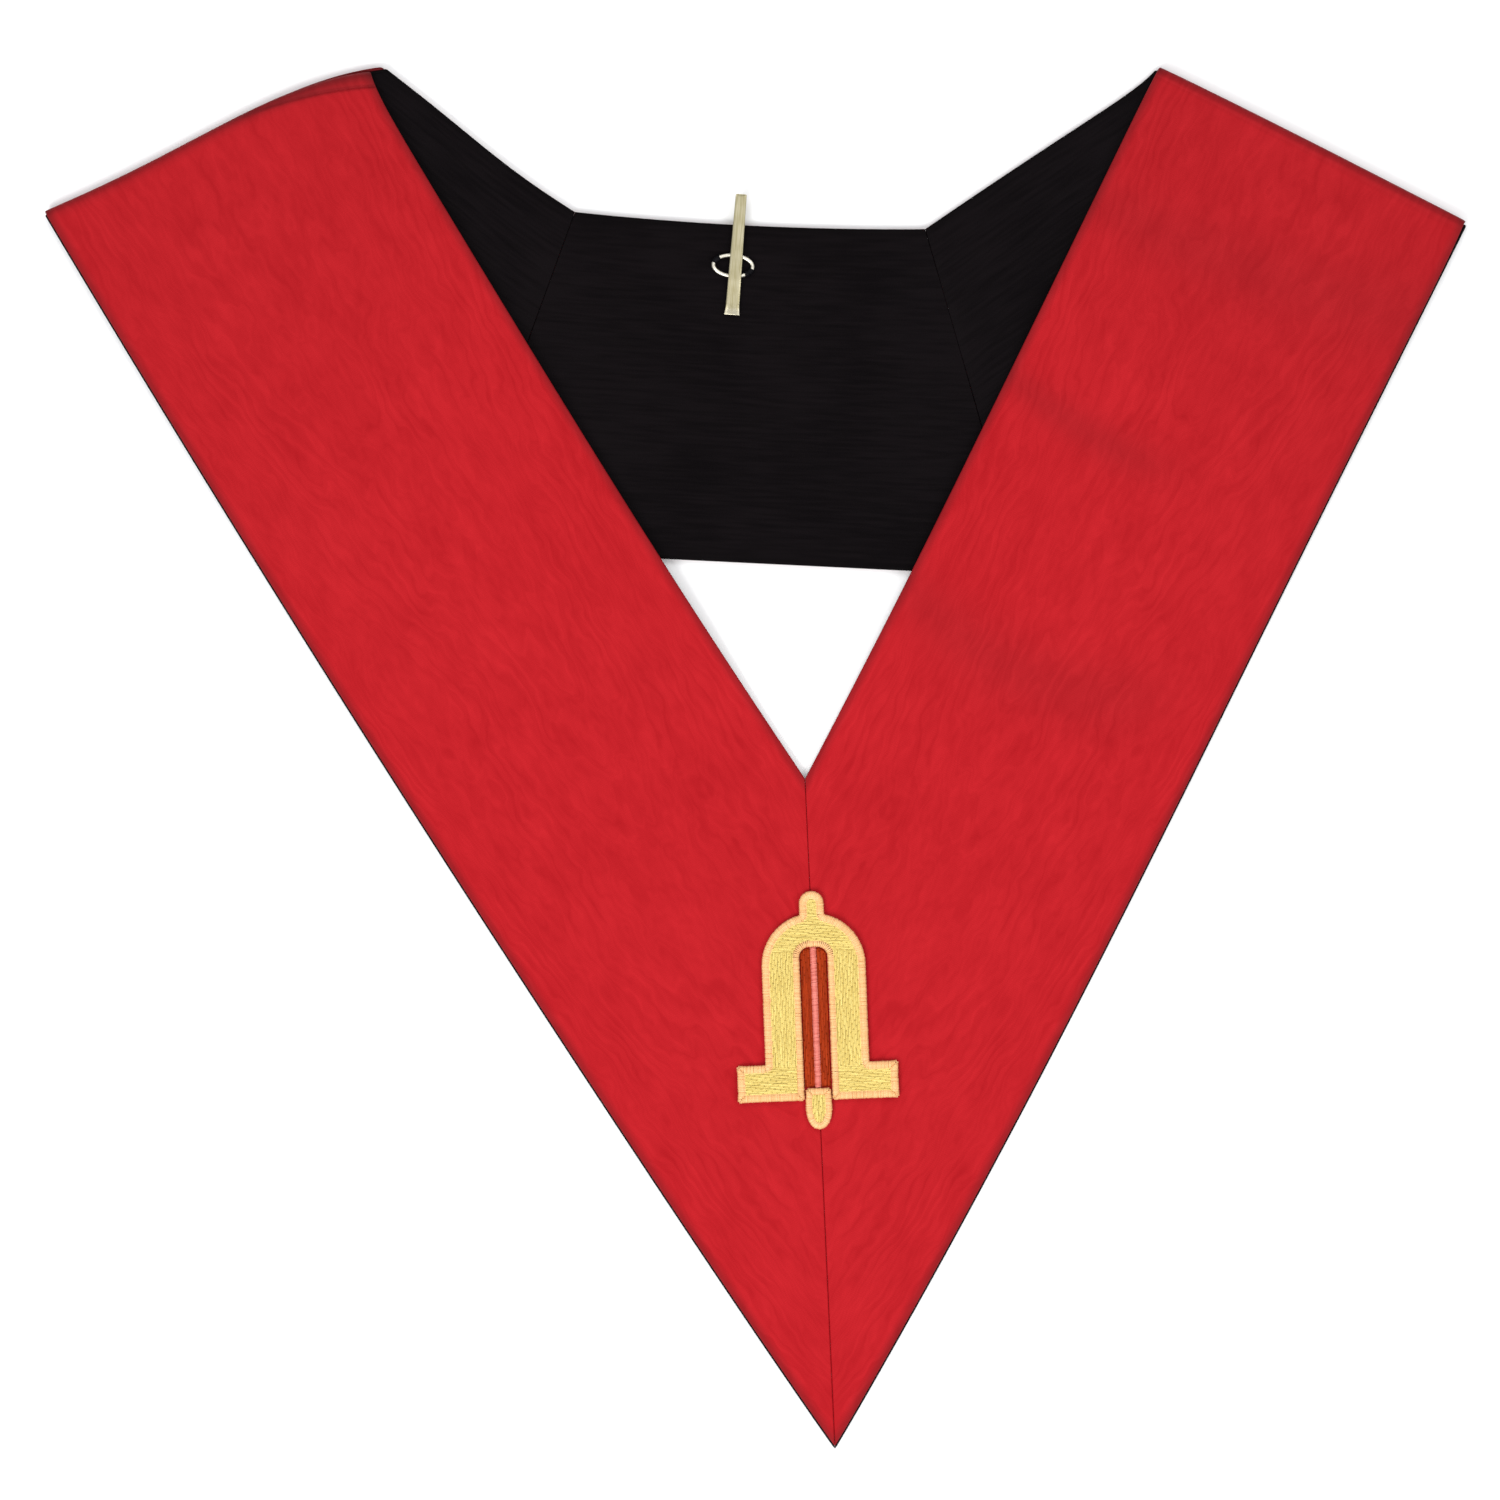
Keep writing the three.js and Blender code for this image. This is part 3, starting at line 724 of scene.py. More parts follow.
def lining_material():
    n = Nodes("black_lining")
    across, along = n.place("ribbon")
    twill = n.wave(n.times(n.math("ADD", across, along), 1 / (0.8 * RIB_PITCH)))
    grain = n.wave(n.times(n.math("SUBTRACT", along, n.times(across, 0.3)), 1 / RIB_PITCH))
    streaks = n.noise(n.joined(n.times(across, 900.0), n.times(along, 60.0)), 1.0, 2.0)
    cloud = n.object_noise(26.0, 3.0)
    n.bump(n.total(n.times(twill, 0.4), n.times(grain, 0.2), streaks), 0.05 * MM, 0.5)
    share = n.total(n.times(streaks, 0.5), n.times(cloud, 0.5))
    black = n.mix(n.span(share, 0.35, 0.65), (0.0016, 0.0008, 0.0012, 1), (0.0038, 0.0024, 0.003, 1))
    # the shade attribute darkens the lining further: painted shade at its edges and fold
    return n.finish(
        n.mix(n.point_value("shade"), black, (0.0008, 0.0004, 0.0005, 1)),
        Roughness=n.span(cloud, 0.3, 0.7, 0.4, 0.52),
        Specular_IOR_Level=0.035,
        Sheen_Weight=0.006,
        Sheen_Roughness=0.4,
    )


def thread_material(name, deep, clear, **finish):
    """Embroidery thread: each stitch a little different, with a fine twist along it."""
    n = Nodes(name)
    around, along = n.place("thread")
    stitch = n.point_value("stitch")
    twist = n.wave(n.math("ADD", n.times(along, 1 / (0.55 * MM)), around))
    fibres = n.object_noise(1500.0, 2.0)
    worn = n.object_noise(190.0, 3.0)
    share = n.total(n.times(stitch, 0.6), n.times(worn, 0.6), n.times(twist, 0.08), -0.1)
    n.bump(n.total(twist, n.times(fibres, 0.8)), 0.03 * MM, 0.6)
    return n.finish(n.mix(share, deep, clear), Roughness=n.span(fibres, 0.3, 0.7, 0.36, 0.5), **finish)


def gilt_material():
    """Pale brass, with a paler painted highlight mixed in by the points' number: none at 0, full at 1."""
    n = Nodes("gilt_brass")
    across, along = n.place("thread")
    streaks = n.noise(n.joined(n.times(across, 2600.0), n.times(along, 90.0)), 1.0, 2.0)
    haze = n.object_noise(260.0, 2.0)
    worn = n.math("ADD", n.times(streaks, 0.75), n.times(haze, 0.25))
    n.bump(n.total(n.times(streaks, 0.6), n.times(haze, 0.15)), 0.012 * MM, 0.35)
    plain_brass = n.mix(n.span(worn, 0.3, 0.7), (0.36, 0.315, 0.17, 1), (0.57, 0.52, 0.355, 1))
    return n.finish(
        # the paler colour is a painted highlight, for the lip of the strip and the whole ring
        n.mix(n.point_value("stitch"), plain_brass, (0.75, 0.71, 0.6, 1)),
        Metallic=1.0,
        Roughness=n.span(worn, 0.3, 0.7, 0.4, 0.3),
    )


RED = moire_material()
BLACK = lining_material()
GOLD_GLOSS = dict(Specular_IOR_Level=0.4, Metallic=0.15, Sheen_Weight=0.1)
GOLD_BORDER = thread_material(
    "gold_border_thread", (0.71, 0.385, 0.145, 1), (0.87, 0.53, 0.25, 1), **GOLD_GLOSS
)
GOLD_FILL = thread_material(
    "gold_fill_thread", (0.595, 0.44, 0.104, 1), (0.785, 0.63, 0.2, 1), **GOLD_GLOSS
)
# painted shade: the russet thread stands for the ribbon shaded in the slot, tinted by the gold around it
RUSSET_PAINTED_SHADE = thread_material(
    "russet_thread", (0.225, 0.02, 0.003, 1), (0.43, 0.045, 0.007, 1), Specular_IOR_Level=0.06
)
ROSE = thread_material(
    "rose_thread", (0.57, 0.128, 0.1, 1), (0.77, 0.245, 0.2, 1), Specular_IOR_Level=0.25
)
SEWING = thread_material(
    "black_thread", (0.002, 0.002, 0.0025, 1), (0.007, 0.006, 0.008, 1), Specular_IOR_Level=0.06
)
GILT = gilt_material()


# The ten layers of cloth

SEAM_START = 4.7  # how far the left shoulder seam is inside the fold, and the share of the width it crosses
SEAM_REACH = 0.44
CORNER_RUN = 5  # how far along the limb its outer corner at the fold is taken in


def inside(inner, outer, corner=0.0, corner_run=1.0):
    """Insets of a layer from the panel's edges, with more at the outer corner of the fold."""

    def at(away):
        return np.full(away.shape, inner), outer + corner * np.exp(-away / corner_run)

    return at


def no_relief(plan, away, across):
    return np.zeros(across.shape)


def lining_relief(plan, away, across):
    """The soft creases of the back's lining."""
    total = np.zeros(across.shape)
    for crease in LINING_CREASES:
        start, end = np.array(crease["start"]), np.array(crease["end"])
        length = np.linalg.norm(end - start)
        along = (plan - start) @ unit(start, end)
        off = (plan - start) @ left_of(unit(start, end)) + CREASE_SWAY * np.sin(along / CREASE_SWAY_RUN)
        fade = smoothstep(along, 0, length / 4) * (1 - smoothstep(along, length * 0.6, length))
        total += fade * pressed_line(off, 0, crease["width"], crease["depth"])
    return total


def pressed_line(away, middle, width, depth):
    return depth * np.exp(-(((away - middle) / width) ** 2))


def left_fold_relief(plan, away, across):
    """The shoulder seam, which lies a little inside the fold near the neck and runs out at the fold."""
    middle = SEAM_START * (1 - across / SEAM_REACH)
    return smoothstep(middle, 0.6, 1.6) * pressed_line(away, middle, 0.42, 0.62)


def right_fold_relief(plan, away, across):
    """Two faint lines pressed beside the fold."""
    return pressed_line(away, 1.5, 0.35, 0.22) + pressed_line(away, 3.1, 0.4, 0.16)


def back_piece(name, panel):
    face = cloth(
        f"{name}_ribbon", panel, 0, LINING_STEP, RED, inside(RIM, RIM), 1, no_relief
    )
    declare_cloth(face, f"{name}_face")
    lining = cloth(
        f"{name}_satin", panel, WALL + SEWN_GAP, FACE_STEP, BLACK, inside(0, 0), -1, lining_relief
    )
    declare_cloth(lining, f"{name}_lining")


def limb(side, relief, corner):
    panel = limb_panel(side)
    lining = cloth(
        f"limb_{side}_satin", panel, LIFT, LINING_STEP, BLACK, inside(RIM, 0), 1, no_relief
    )
    declare_cloth(lining, f"limb_{side}_lining")
    face = cloth(
        f"limb_{side}_ribbon", panel, LIFT + WALL + SEWN_GAP, FACE_STEP, RED,
        inside(0, RIM, corner, CORNER_RUN), -1, relief,
    )
    declare_cloth(face, f"limb_{side}_face")


# Embroidery. Outlines are drawn with the middle of the emblem's base at 0, 0 and its knob towards +Y.

THREAD = 0.5  # width of a stitch
STITCH_PITCH = 0.4
FILL_PITCH = 0.46
FILL_STITCH = 4.2
BRICK_SHIFT = 0.382  # how far a row of fill is shifted from the row before, as a share of its stitch
SAMPLE = 0.1  # how finely a row of fill is cut to its outline
FEWEST_SAMPLES = 6  # a piece of a row with no more than this is left out
RAISED_PAD = [(0.5, 0), (0.5, 0.6), (0.9, 1.2), (1.5, 1.38)]  # how far inside the outline, and how high
FLAT_PAD = [(0, 0), (0.1, 0.15), (0.4, 0.2)]
THREAD_SIDES = 6
STITCH_SHARES = np.array([0, 0.05, 0.14, 0.28, 0.45, 0.62, 0.78, 0.9, 0.97, 1])  # places of a stitch's rings
STITCH_TAPER = np.array([0.7, 0.9, 1, 1, 1, 1, 1, 1, 0.9, 0.7])
STITCH_JITTER = 0.035
PAD_SHADE = 0.4
BORDER_WIDTH = 2.4
SLOT_BORDER_WIDTH = 2
RELIEF = 1.9  # height of the border over the ribbon
FILL_RELIEF = 1.5
FOOTING = 0.1  # the height of a border stitch's ends
SHORT_STITCH = 1.2  # border stitches shorter than this stand lower
TUCK = 0.35  # how far a border stitch is drawn in under its own bulge, at the ribbon
OVERHANG = 0.22
TUCK_SHARE = 0.14  # the share of a stitch that is drawn in
SHARP = math.radians(25)  # an outline that turns by more than this has a corner there
HEADING_STEP = 0.3  # how far before and behind a stitch the outline's heading is read

half_height = (KNOB_HEIGHT + ARCH_HEIGHT) / 2
emblem_down = heading(EMBLEM_TILT - 90)
emblem_base = v_point + centre_seam * (EMBLEM_DROP + half_height) + emblem_down * half_height


def arc(centre, radius, start, end):
    """Points on an arc, from start to end in degrees."""
    turns = np.radians(np.linspace(start, end, max(3, round(abs(end - start) / 7))))
    return [(centre[0] + radius * math.cos(t), centre[1] + radius * math.sin(t)) for t in turns]


def arch_outline():
    half, slot, knob = ARCH_WIDTH / 2, SLOT_WIDTH / 2, KNOB_WIDTH / 2
    spring = ARCH_HEIGHT - half
    slot_top = ARCH_HEIGHT - ARCH_CROWN
    knob_turn = math.degrees(math.acos(knob / half))
    return np.array([
        (slot, 0),
        (FOOT_SPAN / 2, 0),
        (FOOT_SPAN / 2, FOOT_HEIGHT),
        (half, FOOT_HEIGHT),
        *arc((0, spring), half, 0, knob_turn),
        *arc((0, ARCH_HEIGHT + KNOB_HEIGHT - knob), knob, 0, 180),
        *arc((0, spring), half, 180 - knob_turn, 180),
        (-half, FOOT_HEIGHT),
        (-FOOT_SPAN / 2, FOOT_HEIGHT),
        (-FOOT_SPAN / 2, 0),
        (-slot, 0),
        *arc((SLOT_CORNER - slot, slot_top - SLOT_CORNER), SLOT_CORNER, 180, 90),
        *arc((slot - SLOT_CORNER, slot_top - SLOT_CORNER), SLOT_CORNER, 90, 0),
    ])


def curve(start, bend, end, count=8):
    """Points on a quadratic curve, without its start."""
    t = np.linspace(0, 1, count + 1)[1:, None]
    start, bend, end = map(np.array, (start, bend, end))
    return list((1 - t) ** 2 * start + 2 * t * (1 - t) * bend + t**2 * end)


def bob_outline():
    half = SLOT_WIDTH / 2 - SEWN_GAP
    top, low = BOB_RISE, BOB_RISE - BOB_LENGTH
    belly = BOB_RISE - BOB_LENGTH * 0.55
    right = [
        *curve((0, low), (half * 0.85, low + BOB_LENGTH * 0.02), (half, belly)),
        *curve((half, belly), (half * 1.02, BOB_RISE - BOB_LENGTH * 0.35), (half * 0.92, top)),
    ]
    left = [(-x, y) for x, y in reversed(right)]
    return np.array([(0, low), *right, *left])


def tidy_loop(outline):
    """A closed outline without repeated points."""
    gaps = np.linalg.norm(np.roll(outline, -1, axis=0) - outline, axis=1)
    return outline[gaps > 1e-6]


def edge_headings(outline):
    return unit(outline, np.roll(outline, -1, axis=0))


def inset(outline, depth):
    """An anticlockwise outline moved inwards."""
    normals = left_of(edge_headings(outline))
    before = np.roll(normals, 1, axis=0)
    mean = normals + before
    scale = depth / (1 + np.sum(normals * before, axis=1))
    return outline + mean * scale[:, None]


def depth_inside(points, outline):
    """How far each point is inside an outline, less than 0 outside it."""
    nearest = np.full(len(points), np.inf)
    inside = np.zeros(len(points), dtype=bool)
    for a, b in zip(outline, np.roll(outline, -1, axis=0)):
        along = np.clip((points - a) @ (b - a) / ((b - a) @ (b - a)), 0, 1)
        nearest = np.minimum(nearest, np.linalg.norm(points - a - along[:, None] * (b - a), axis=1))
        if a[1] != b[1]:
            crosses = (a[1] > points[:, 1]) != (b[1] > points[:, 1])
            inside ^= crosses & (points[:, 0] < a[0] + (points[:, 1] - a[1]) * (b[0] - a[0]) / (b[1] - a[1]))
    return np.where(inside, nearest, -nearest)


def corner_runs(outline):
    """The stretches of an outline from corner to corner, and how far it turns at the start of each."""
    along = edge_headings(outline)
    before = np.roll(along, 1, axis=0)
    turn = np.arctan2(cross(before.T, along.T), np.sum(before * along, axis=1))
    sharp = np.flatnonzero(np.abs(turn) > SHARP)
    if len(sharp) == 0:
        return [(np.concatenate([outline, outline[:1]]), 0.0, 0.0)]
    runs = []
    for first, last in zip(sharp, np.roll(sharp, -1)):
        count = (last - first) % len(outline) or len(outline)
        run = outline[(first + np.arange(count + 1)) % len(outline)]
        runs.append((run, turn[first], turn[last]))
    return runs


def satin_border(outline, width_at):
    """Stitches side by side over an outline's border, each from the edge inwards."""
    stitches = []
    for run, turn_in, turn_out in corner_runs(outline):
        steps = np.linalg.norm(np.diff(run, axis=0), axis=1)
        reach = np.concatenate([[0], np.cumsum(steps)])
        count = max(2, round(reach[-1] / STITCH_PITCH))
        places = (np.arange(count) + 0.5) * reach[-1] / count
        points, ahead, behind = (
            np.stack([np.interp(places + step, reach, run[:, k]) for k in (0, 1)], axis=1)
            for step in (0, HEADING_STEP, -HEADING_STEP)
        )
        for place, point, normal in zip(places, points, left_of(unit(behind, ahead))):
            length = width_at(point)
            if turn_in > SHARP:
                length = min(length, place / math.tan(turn_in / 2))
            if turn_out > SHARP:
                length = min(length, (reach[-1] - place) / math.tan(turn_out / 2))
            if length > THREAD:
                stitches.append((point, point + normal * length))
        if turn_in < -SHARP:
            width = width_at(run[0])
            fan = np.linspace(turn_in, 0, max(2, round(-turn_in * width / STITCH_PITCH / 1.6)) + 1)
            for turn in fan[:-1]:
                c, s = math.cos(turn), math.sin(turn)
                along = unit(run[0], run[1])
                out = left_of(np.array([c * along[0] + s * along[1], c * along[1] - s * along[0]]))
                stitches.append((run[0], run[0] + out * width))
    return stitches


def fill_stitches(outline, depth, zone, upright, pitch=FILL_PITCH, length=FILL_STITCH):
    """Rows of long stitches, laid like bricks, where an outline is deeper than depth and zone holds."""
    low, high = outline.min(axis=0), outline.max(axis=0)
    run, row = (1, 0) if upright else (0, 1)
    samples = np.arange(low[run], high[run], SAMPLE)
    stitches = []
    for number, place in enumerate(np.arange(low[row] + pitch / 2, high[row], pitch)):
        points = np.empty((len(samples), 2))
        points[:, run] = samples
        points[:, row] = place
        kept = (depth_inside(points, outline) > depth) & zone(points)
        brick = np.floor((samples + number * length * BRICK_SHIFT) / length)
        change = np.flatnonzero((np.diff(kept.astype(int)) != 0) | (np.diff(brick) != 0)) + 1
        for piece in np.split(np.arange(len(samples)), change):
            if kept[piece[0]] and len(piece) > FEWEST_SAMPLES:
                stitches.append((points[piece[0]], points[piece[-1]]))
    return stitches


def everywhere(points):
    return np.ones(len(points), dtype=bool)


def straight(shares, lengths):
    return shares * lengths


def tucked(shares, lengths):
    """A border stitch comes up from under its own bulge."""
    under = np.clip(1 - shares / TUCK_SHARE, 0, 1) ** 2
    over = np.clip(1 - 2 * shares, 0, 1)
    drawn = (TUCK + OVERHANG) * under - OVERHANG * over
    return shares * lengths + drawn * np.clip(lengths / BORDER_WIDTH, 0, 1)


def tubes(rings, shade, closed=False, uv=None):
    """A mesh of tubes, from their rings of points. Each tube has caps, or is closed to a loop. shade is one
    number for all, for each tube or for each point: a tone on threads and pads, the share of painted highlight
    on the clip."""
    count, length, sides, _ = rings.shape
    index = np.arange(count * length * sides).reshape(count, length, sides)
    caps = [] if closed else [*index[:, 0, ::-1].tolist(), *index[:, -1].tolist()]
    if closed:
        index = np.concatenate([index, index[:, :1]], axis=1)
    following = np.roll(index, -1, axis=2)
    quads = np.stack([index[:, :-1], following[:, :-1], following[:, 1:], index[:, 1:]], axis=-1)
    points = rings.reshape(-1, 3)
    return SimpleNamespace(
        points=points,
        faces=quads.reshape(-1, 4).tolist() + caps,
        uv=points[:, :2] * MM if uv is None else uv,
        shade=np.broadcast_to(shade, rings.shape[:3]).ravel(),
    )


def round_paths(paths, ahead, radius, flatness=1.0):
    """Rings of points round paths. ahead is each path's heading seen from above, radius fits its points."""
    along = unit(0, np.gradient(paths, axis=1))
    side = np.zeros_like(paths)
    side[..., :2] = left_of(ahead)[:, None]
    up = np.cross(along, side)
    turns = 2 * np.pi * np.arange(THREAD_SIDES)[:, None] / THREAD_SIDES
    return (
        paths[:, :, None]
        + radius * np.cos(turns) * side[:, :, None]
        + radius * flatness * np.sin(turns) * up[:, :, None]
    )


def thread_mesh(stitches, rise, flatness=0.8, path_along=straight):
    """Threads for stitches, each with a random number. rise gives the height of a thread's middle for the
    distance along the stitch, its length, and the place."""
    starts = np.array([s[0] for s in stitches])
    ends = np.array([s[1] for s in stitches])
    lengths = np.linalg.norm(ends - starts, axis=1)
    jitter = dice.normal(0, STITCH_JITTER, starts.shape)
    ahead = unit(starts, ends)
    reach = path_along(STITCH_SHARES, lengths[:, None])
    plan = starts[:, None] + reach[..., None] * ahead[:, None] + jitter[:, None]
    run = STITCH_SHARES * lengths[:, None]
    paths = np.concatenate([plan, rise(run, lengths[:, None], plan)[..., None]], axis=-1)
    rings = round_paths(paths, ahead, STITCH_TAPER[:, None, None] * THREAD / 2, flatness)
    around = np.arange(THREAD_SIDES) / THREAD_SIDES
    uv = np.stack(np.broadcast_arrays(around, run[..., None] * MM), axis=-1).reshape(-1, 2)
    return tubes(rings, dice.random(len(stitches))[:, None, None], uv=uv)


def padding_mesh(outline, profile):
    """A closed pad under the stitches, from (inset, height) pairs."""
    loops = [np.column_stack([inset(outline, depth), np.full(len(outline), z)]) for depth, z in profile]
    return tubes(np.array([loops]), PAD_SHADE)


def joined_mesh(name, parts, materials, to_model):
    """One object from several meshes, with one material each."""
    firsts = np.cumsum([0] + [len(part.points) for part in parts]).tolist()
    faces = [[first + i for i in face] for part, first in zip(parts, firsts) for face in part.faces]
    slots = np.repeat(np.arange(len(parts)), [len(part.faces) for part in parts])
    points, uv, shade = (
        np.concatenate([getattr(part, key) for part in parts]) for key in ("points", "uv", "shade")
    )
    made = new_object(name, to_model(points), faces, materials, uv, "thread", slots)
    # stitch holds each thread's random tone, the pad's tone, and on the clip its share of painted highlight
    give_points(made, "stitch", shade)
    return made


def on_ribbon(points):
    """From the emblem's drawing to its place on the ribbon."""
    right = left_of(emblem_down)
    plan = emblem_base + points[:, :1] * right - points[:, 1:2] * emblem_down
    return np.column_stack([plan, PLY + waves(plan) + points[:, 2]])


def over_border(reach, length, plan):
    """A border stitch stands up from the ribbon at the edge, and sinks a little to its inner end."""
    width = np.maximum(length, SHORT_STITCH)
    round_up = rounding(reach, width * 0.5)
    sink = 0.22 * smoothstep(reach / width, 0.6, 1)
    return FOOTING + (RELIEF - FOOTING) * (round_up - sink) * np.clip(length / SHORT_STITCH, 0.55, 1)


def over_fill(level, arch=0.07):
    """A fill stitch is a low arch whose ends dive between its neighbours."""

    def rise(reach, length, plan):
        share = reach / length
        dive = 1 - np.clip(np.minimum(share, 1 - share) * 12, 0, 1)
        return level + arch * np.sin(np.pi * share) - 0.12 * dive

    return rise


def over_line(reach, length, plan):
    """A stitch of the plumb line is a rounded arch."""
    arch = np.maximum(np.sin(np.pi * reach / length), 0)  # rounding can bring it just under 0 at the end
    return 0.5 + 0.75 * arch**0.7


def border_width(point):
    """Narrower along the slot."""
    beside_slot = abs(point[0]) < SLOT_WIDTH / 2 + 0.1 and point[1] < ARCH_HEIGHT - ARCH_CROWN + 0.1
    return SLOT_BORDER_WIDTH if beside_slot else BORDER_WIDTH


def crown_or_feet(points):
    crown = points[:, 1] > ARCH_HEIGHT - ARCH_CROWN - 1
    return crown | (points[:, 1] < FOOT_HEIGHT - 1)


def legs(points):
    return ~crown_or_feet(points)


def embroidered(name, outline, width_at, zones, node):
    """A raised figure: a pad, a satin border over its edge, and a laid fill."""
    outline = tidy_loop(outline)
    pad = padding_mesh(outline, RAISED_PAD)
    border = thread_mesh(satin_border(outline, width_at), over_border, path_along=tucked)
    fill = [
        stitch
        for zone, upright in zones
        for stitch in fill_stitches(outline, SLOT_BORDER_WIDTH - 0.15, zone, upright)
    ]
    laid = thread_mesh(fill, over_fill(FILL_RELIEF))
    made = joined_mesh(name, [pad, border, laid], [GOLD_FILL, GOLD_BORDER, GOLD_FILL], on_ribbon)
    stands_for(made, node)


def emblem():
    zones = [(crown_or_feet, False), (legs, True)]
    embroidered("arch_embroidery", arch_outline(), border_width, zones, "emblem_arch")
    zones = [(everywhere, True)]
    embroidered("bob_embroidery", bob_outline(), lambda point: SLOT_BORDER_WIDTH, zones, "plumb_bob")
    slot_top = ARCH_HEIGHT - ARCH_CROWN - SEWN_GAP
    slot_bottom = BOB_RISE + SEWN_GAP
    half = SLOT_WIDTH / 2 - SEWN_GAP
    ground = np.array([
        (-half, slot_bottom),
        (half, slot_bottom),
        (half, slot_top - SLOT_CORNER / 2),
        (half - SLOT_CORNER / 2, slot_top),
        (SLOT_CORNER / 2 - half, slot_top),
        (-half, slot_top - SLOT_CORNER / 2),
    ])
    # The russet fill of the slot is painted shade, a dark brown-red ground where the ribbon lies in the shade
    # of the raised gold
    pad = padding_mesh(ground, FLAT_PAD)
    rows = fill_stitches(ground, 0.15, everywhere, True, THREAD * 0.9, 6)
    flat = thread_mesh(rows, over_fill(0.32, 0.05), 0.6)
    made = joined_mesh("slot_embroidery", [pad, flat], [RUSSET_PAINTED_SHADE, RUSSET_PAINTED_SHADE], on_ribbon)
    stands_for(made, "slot_fill")
    places = np.arange(slot_bottom + 0.2, slot_top, STITCH_PITCH)
    across = LINE_WIDTH / 2
    line = [(np.array([-across, y - 0.1]), np.array([across, y + 0.1])) for y in places]
    made = joined_mesh("plumb_line_embroidery", [thread_mesh(line, over_line)], [ROSE], on_ribbon)
    stands_for(made, "plumb_line")


# Neck clip, drawn with the neck edge at y = 0 and the top of the lining at z = 0

clip_place = (corners["left"].neck + corners["right"].neck) / 2 + heading(NECK_TILT) * CLIP_OFFSET
RING_SEWN = [dict(turn=152, spread=15), dict(turn=-31, spread=17)]  # where the ring is sewn down
RING_WRAPS = 8
WRAP_TURN = math.radians(118)  # how far a stitch goes round the wire from its top, to either side
# Painted highlight on the lip at the strip's foot: how much of the gilt's paler colour it gets, and over how
# long a run
LIP_PAINTED_HIGHLIGHT = 0.4  # how bright the lip at the strip's foot is, and how soon
LIP_PAINTED_HIGHLIGHT_RUN = 1.6


def on_lining(points):
    """From the clip's drawing to its place on the lining."""
    right = heading(CLIP_TILT)
    plan = clip_place + points[:, :1] * right + points[:, 1:2] * left_of(right)
    level = waves(clip_place - left_of(right) * RING_DROP)
    return np.column_stack([plan, np.full(len(plan), PLY + level) + points[:, 2]])


def softened(path, cut, times=2):
    """A path with its corners cut off, again and again."""
    for _ in range(times):
        pieces = [path[:1]]
        for a, b in zip(path[:-1], path[1:]):
            near = min(cut, np.linalg.norm(b - a) / 3)
            pieces.append(np.array([a + unit(a, b) * near, b - unit(a, b) * near]))
        path = np.concatenate([*pieces, path[-1:]])
        cut /= 2.5
    return path


def strip_mesh():
    """The folded spring: a flat strip with rounded edges and a slightly crowned face."""
    leg_top = SEWN_GAP + RING_WIRE - SOLDER
    low, high = SEWN_GAP + STRIP_WALL / 2, leg_top + STRIP_WALL / 2
    bend = (high - low) / 2
    bend_y = CLIP_REACH - bend - STRIP_WALL / 2
    ring_low = -RING_DROP - RING_WIDTH / 2
    lip = -CLIP_DROP + CLIP_LIP_LENGTH
    back_end = -RING_DROP + RING_WIDTH / 2 + STRIP_WALL
    path = softened(np.array([
        (back_end, low),
        *[(bend_y + y, low + bend + z) for y, z in arc((0, 0), bend, -90, 90)],
        (ring_low, high),
        (lip, low),
        (-CLIP_DROP, low + CLIP_LIP_RISE),
    ]), 0.8)
    out = -left_of(unit(0, np.gradient(path, axis=0)))
    widths = np.interp(
        path[:, 0],
        [-CLIP_DROP, lip, CLIP_REACH],
        [CLIP_LIP_WIDTH, CLIP_FOOT_WIDTH, CLIP_TOP_WIDTH],
    )
    turns = 2 * np.pi * (np.arange(20) + 0.5) / 20
    square = np.sign(np.cos(turns)) * np.abs(np.cos(turns)) ** 0.3
    thick = np.sign(np.sin(turns)) * np.abs(np.sin(turns)) ** 0.45
    crown = 0.1 * (1 - square**2)
    x = widths[:, None] / 2 * square
    off = STRIP_WALL / 2 * thick + crown
    rings = np.stack([x, path[:, :1] + out[:, :1] * off, path[:, 1:] + out[:, 1:] * off], axis=-1)
    # painted highlight on the lip, where it bends up at the strip's foot
    shade = LIP_PAINTED_HIGHLIGHT * smoothstep(-rings[..., 1], -lip, -lip + LIP_PAINTED_HIGHLIGHT_RUN)
    return tubes(rings[None], shade)


def ring_paths(turns, reach, height):
    """Points beside the middle of the ring's wire, for each turn in radians, from how far outwards and how
    high they are, and the way outwards at each turn."""
    wire = RING_WIRE / 2
    round_ring = np.stack([np.cos(turns), np.sin(turns)], axis=-1)
    centre = round_ring * [RING_LENGTH / 2 - wire, RING_WIDTH / 2 - wire] + [RING_OFFSET, -RING_DROP]
    out = unit(0, round_ring / [RING_LENGTH, RING_WIDTH])
    plan = centre[:, None] + reach[:, None] * out[:, None]
    level = np.broadcast_to(SEWN_GAP + wire + height, plan.shape[:2])
    return np.concatenate([plan, level[..., None]], axis=-1), out


def ring_mesh(steps=96, sides=16):
    wire = RING_WIRE / 2
    turns = -2 * np.pi * np.arange(sides) / sides  # this way round, the faces look outwards
    rings, _ = ring_paths(2 * np.pi * np.arange(steps) / steps, wire * np.cos(turns), wire * np.sin(turns))
    # 1.0: the whole ring gets the gilt's paler painted highlight
    return tubes(rings[None], 1.0, closed=True)


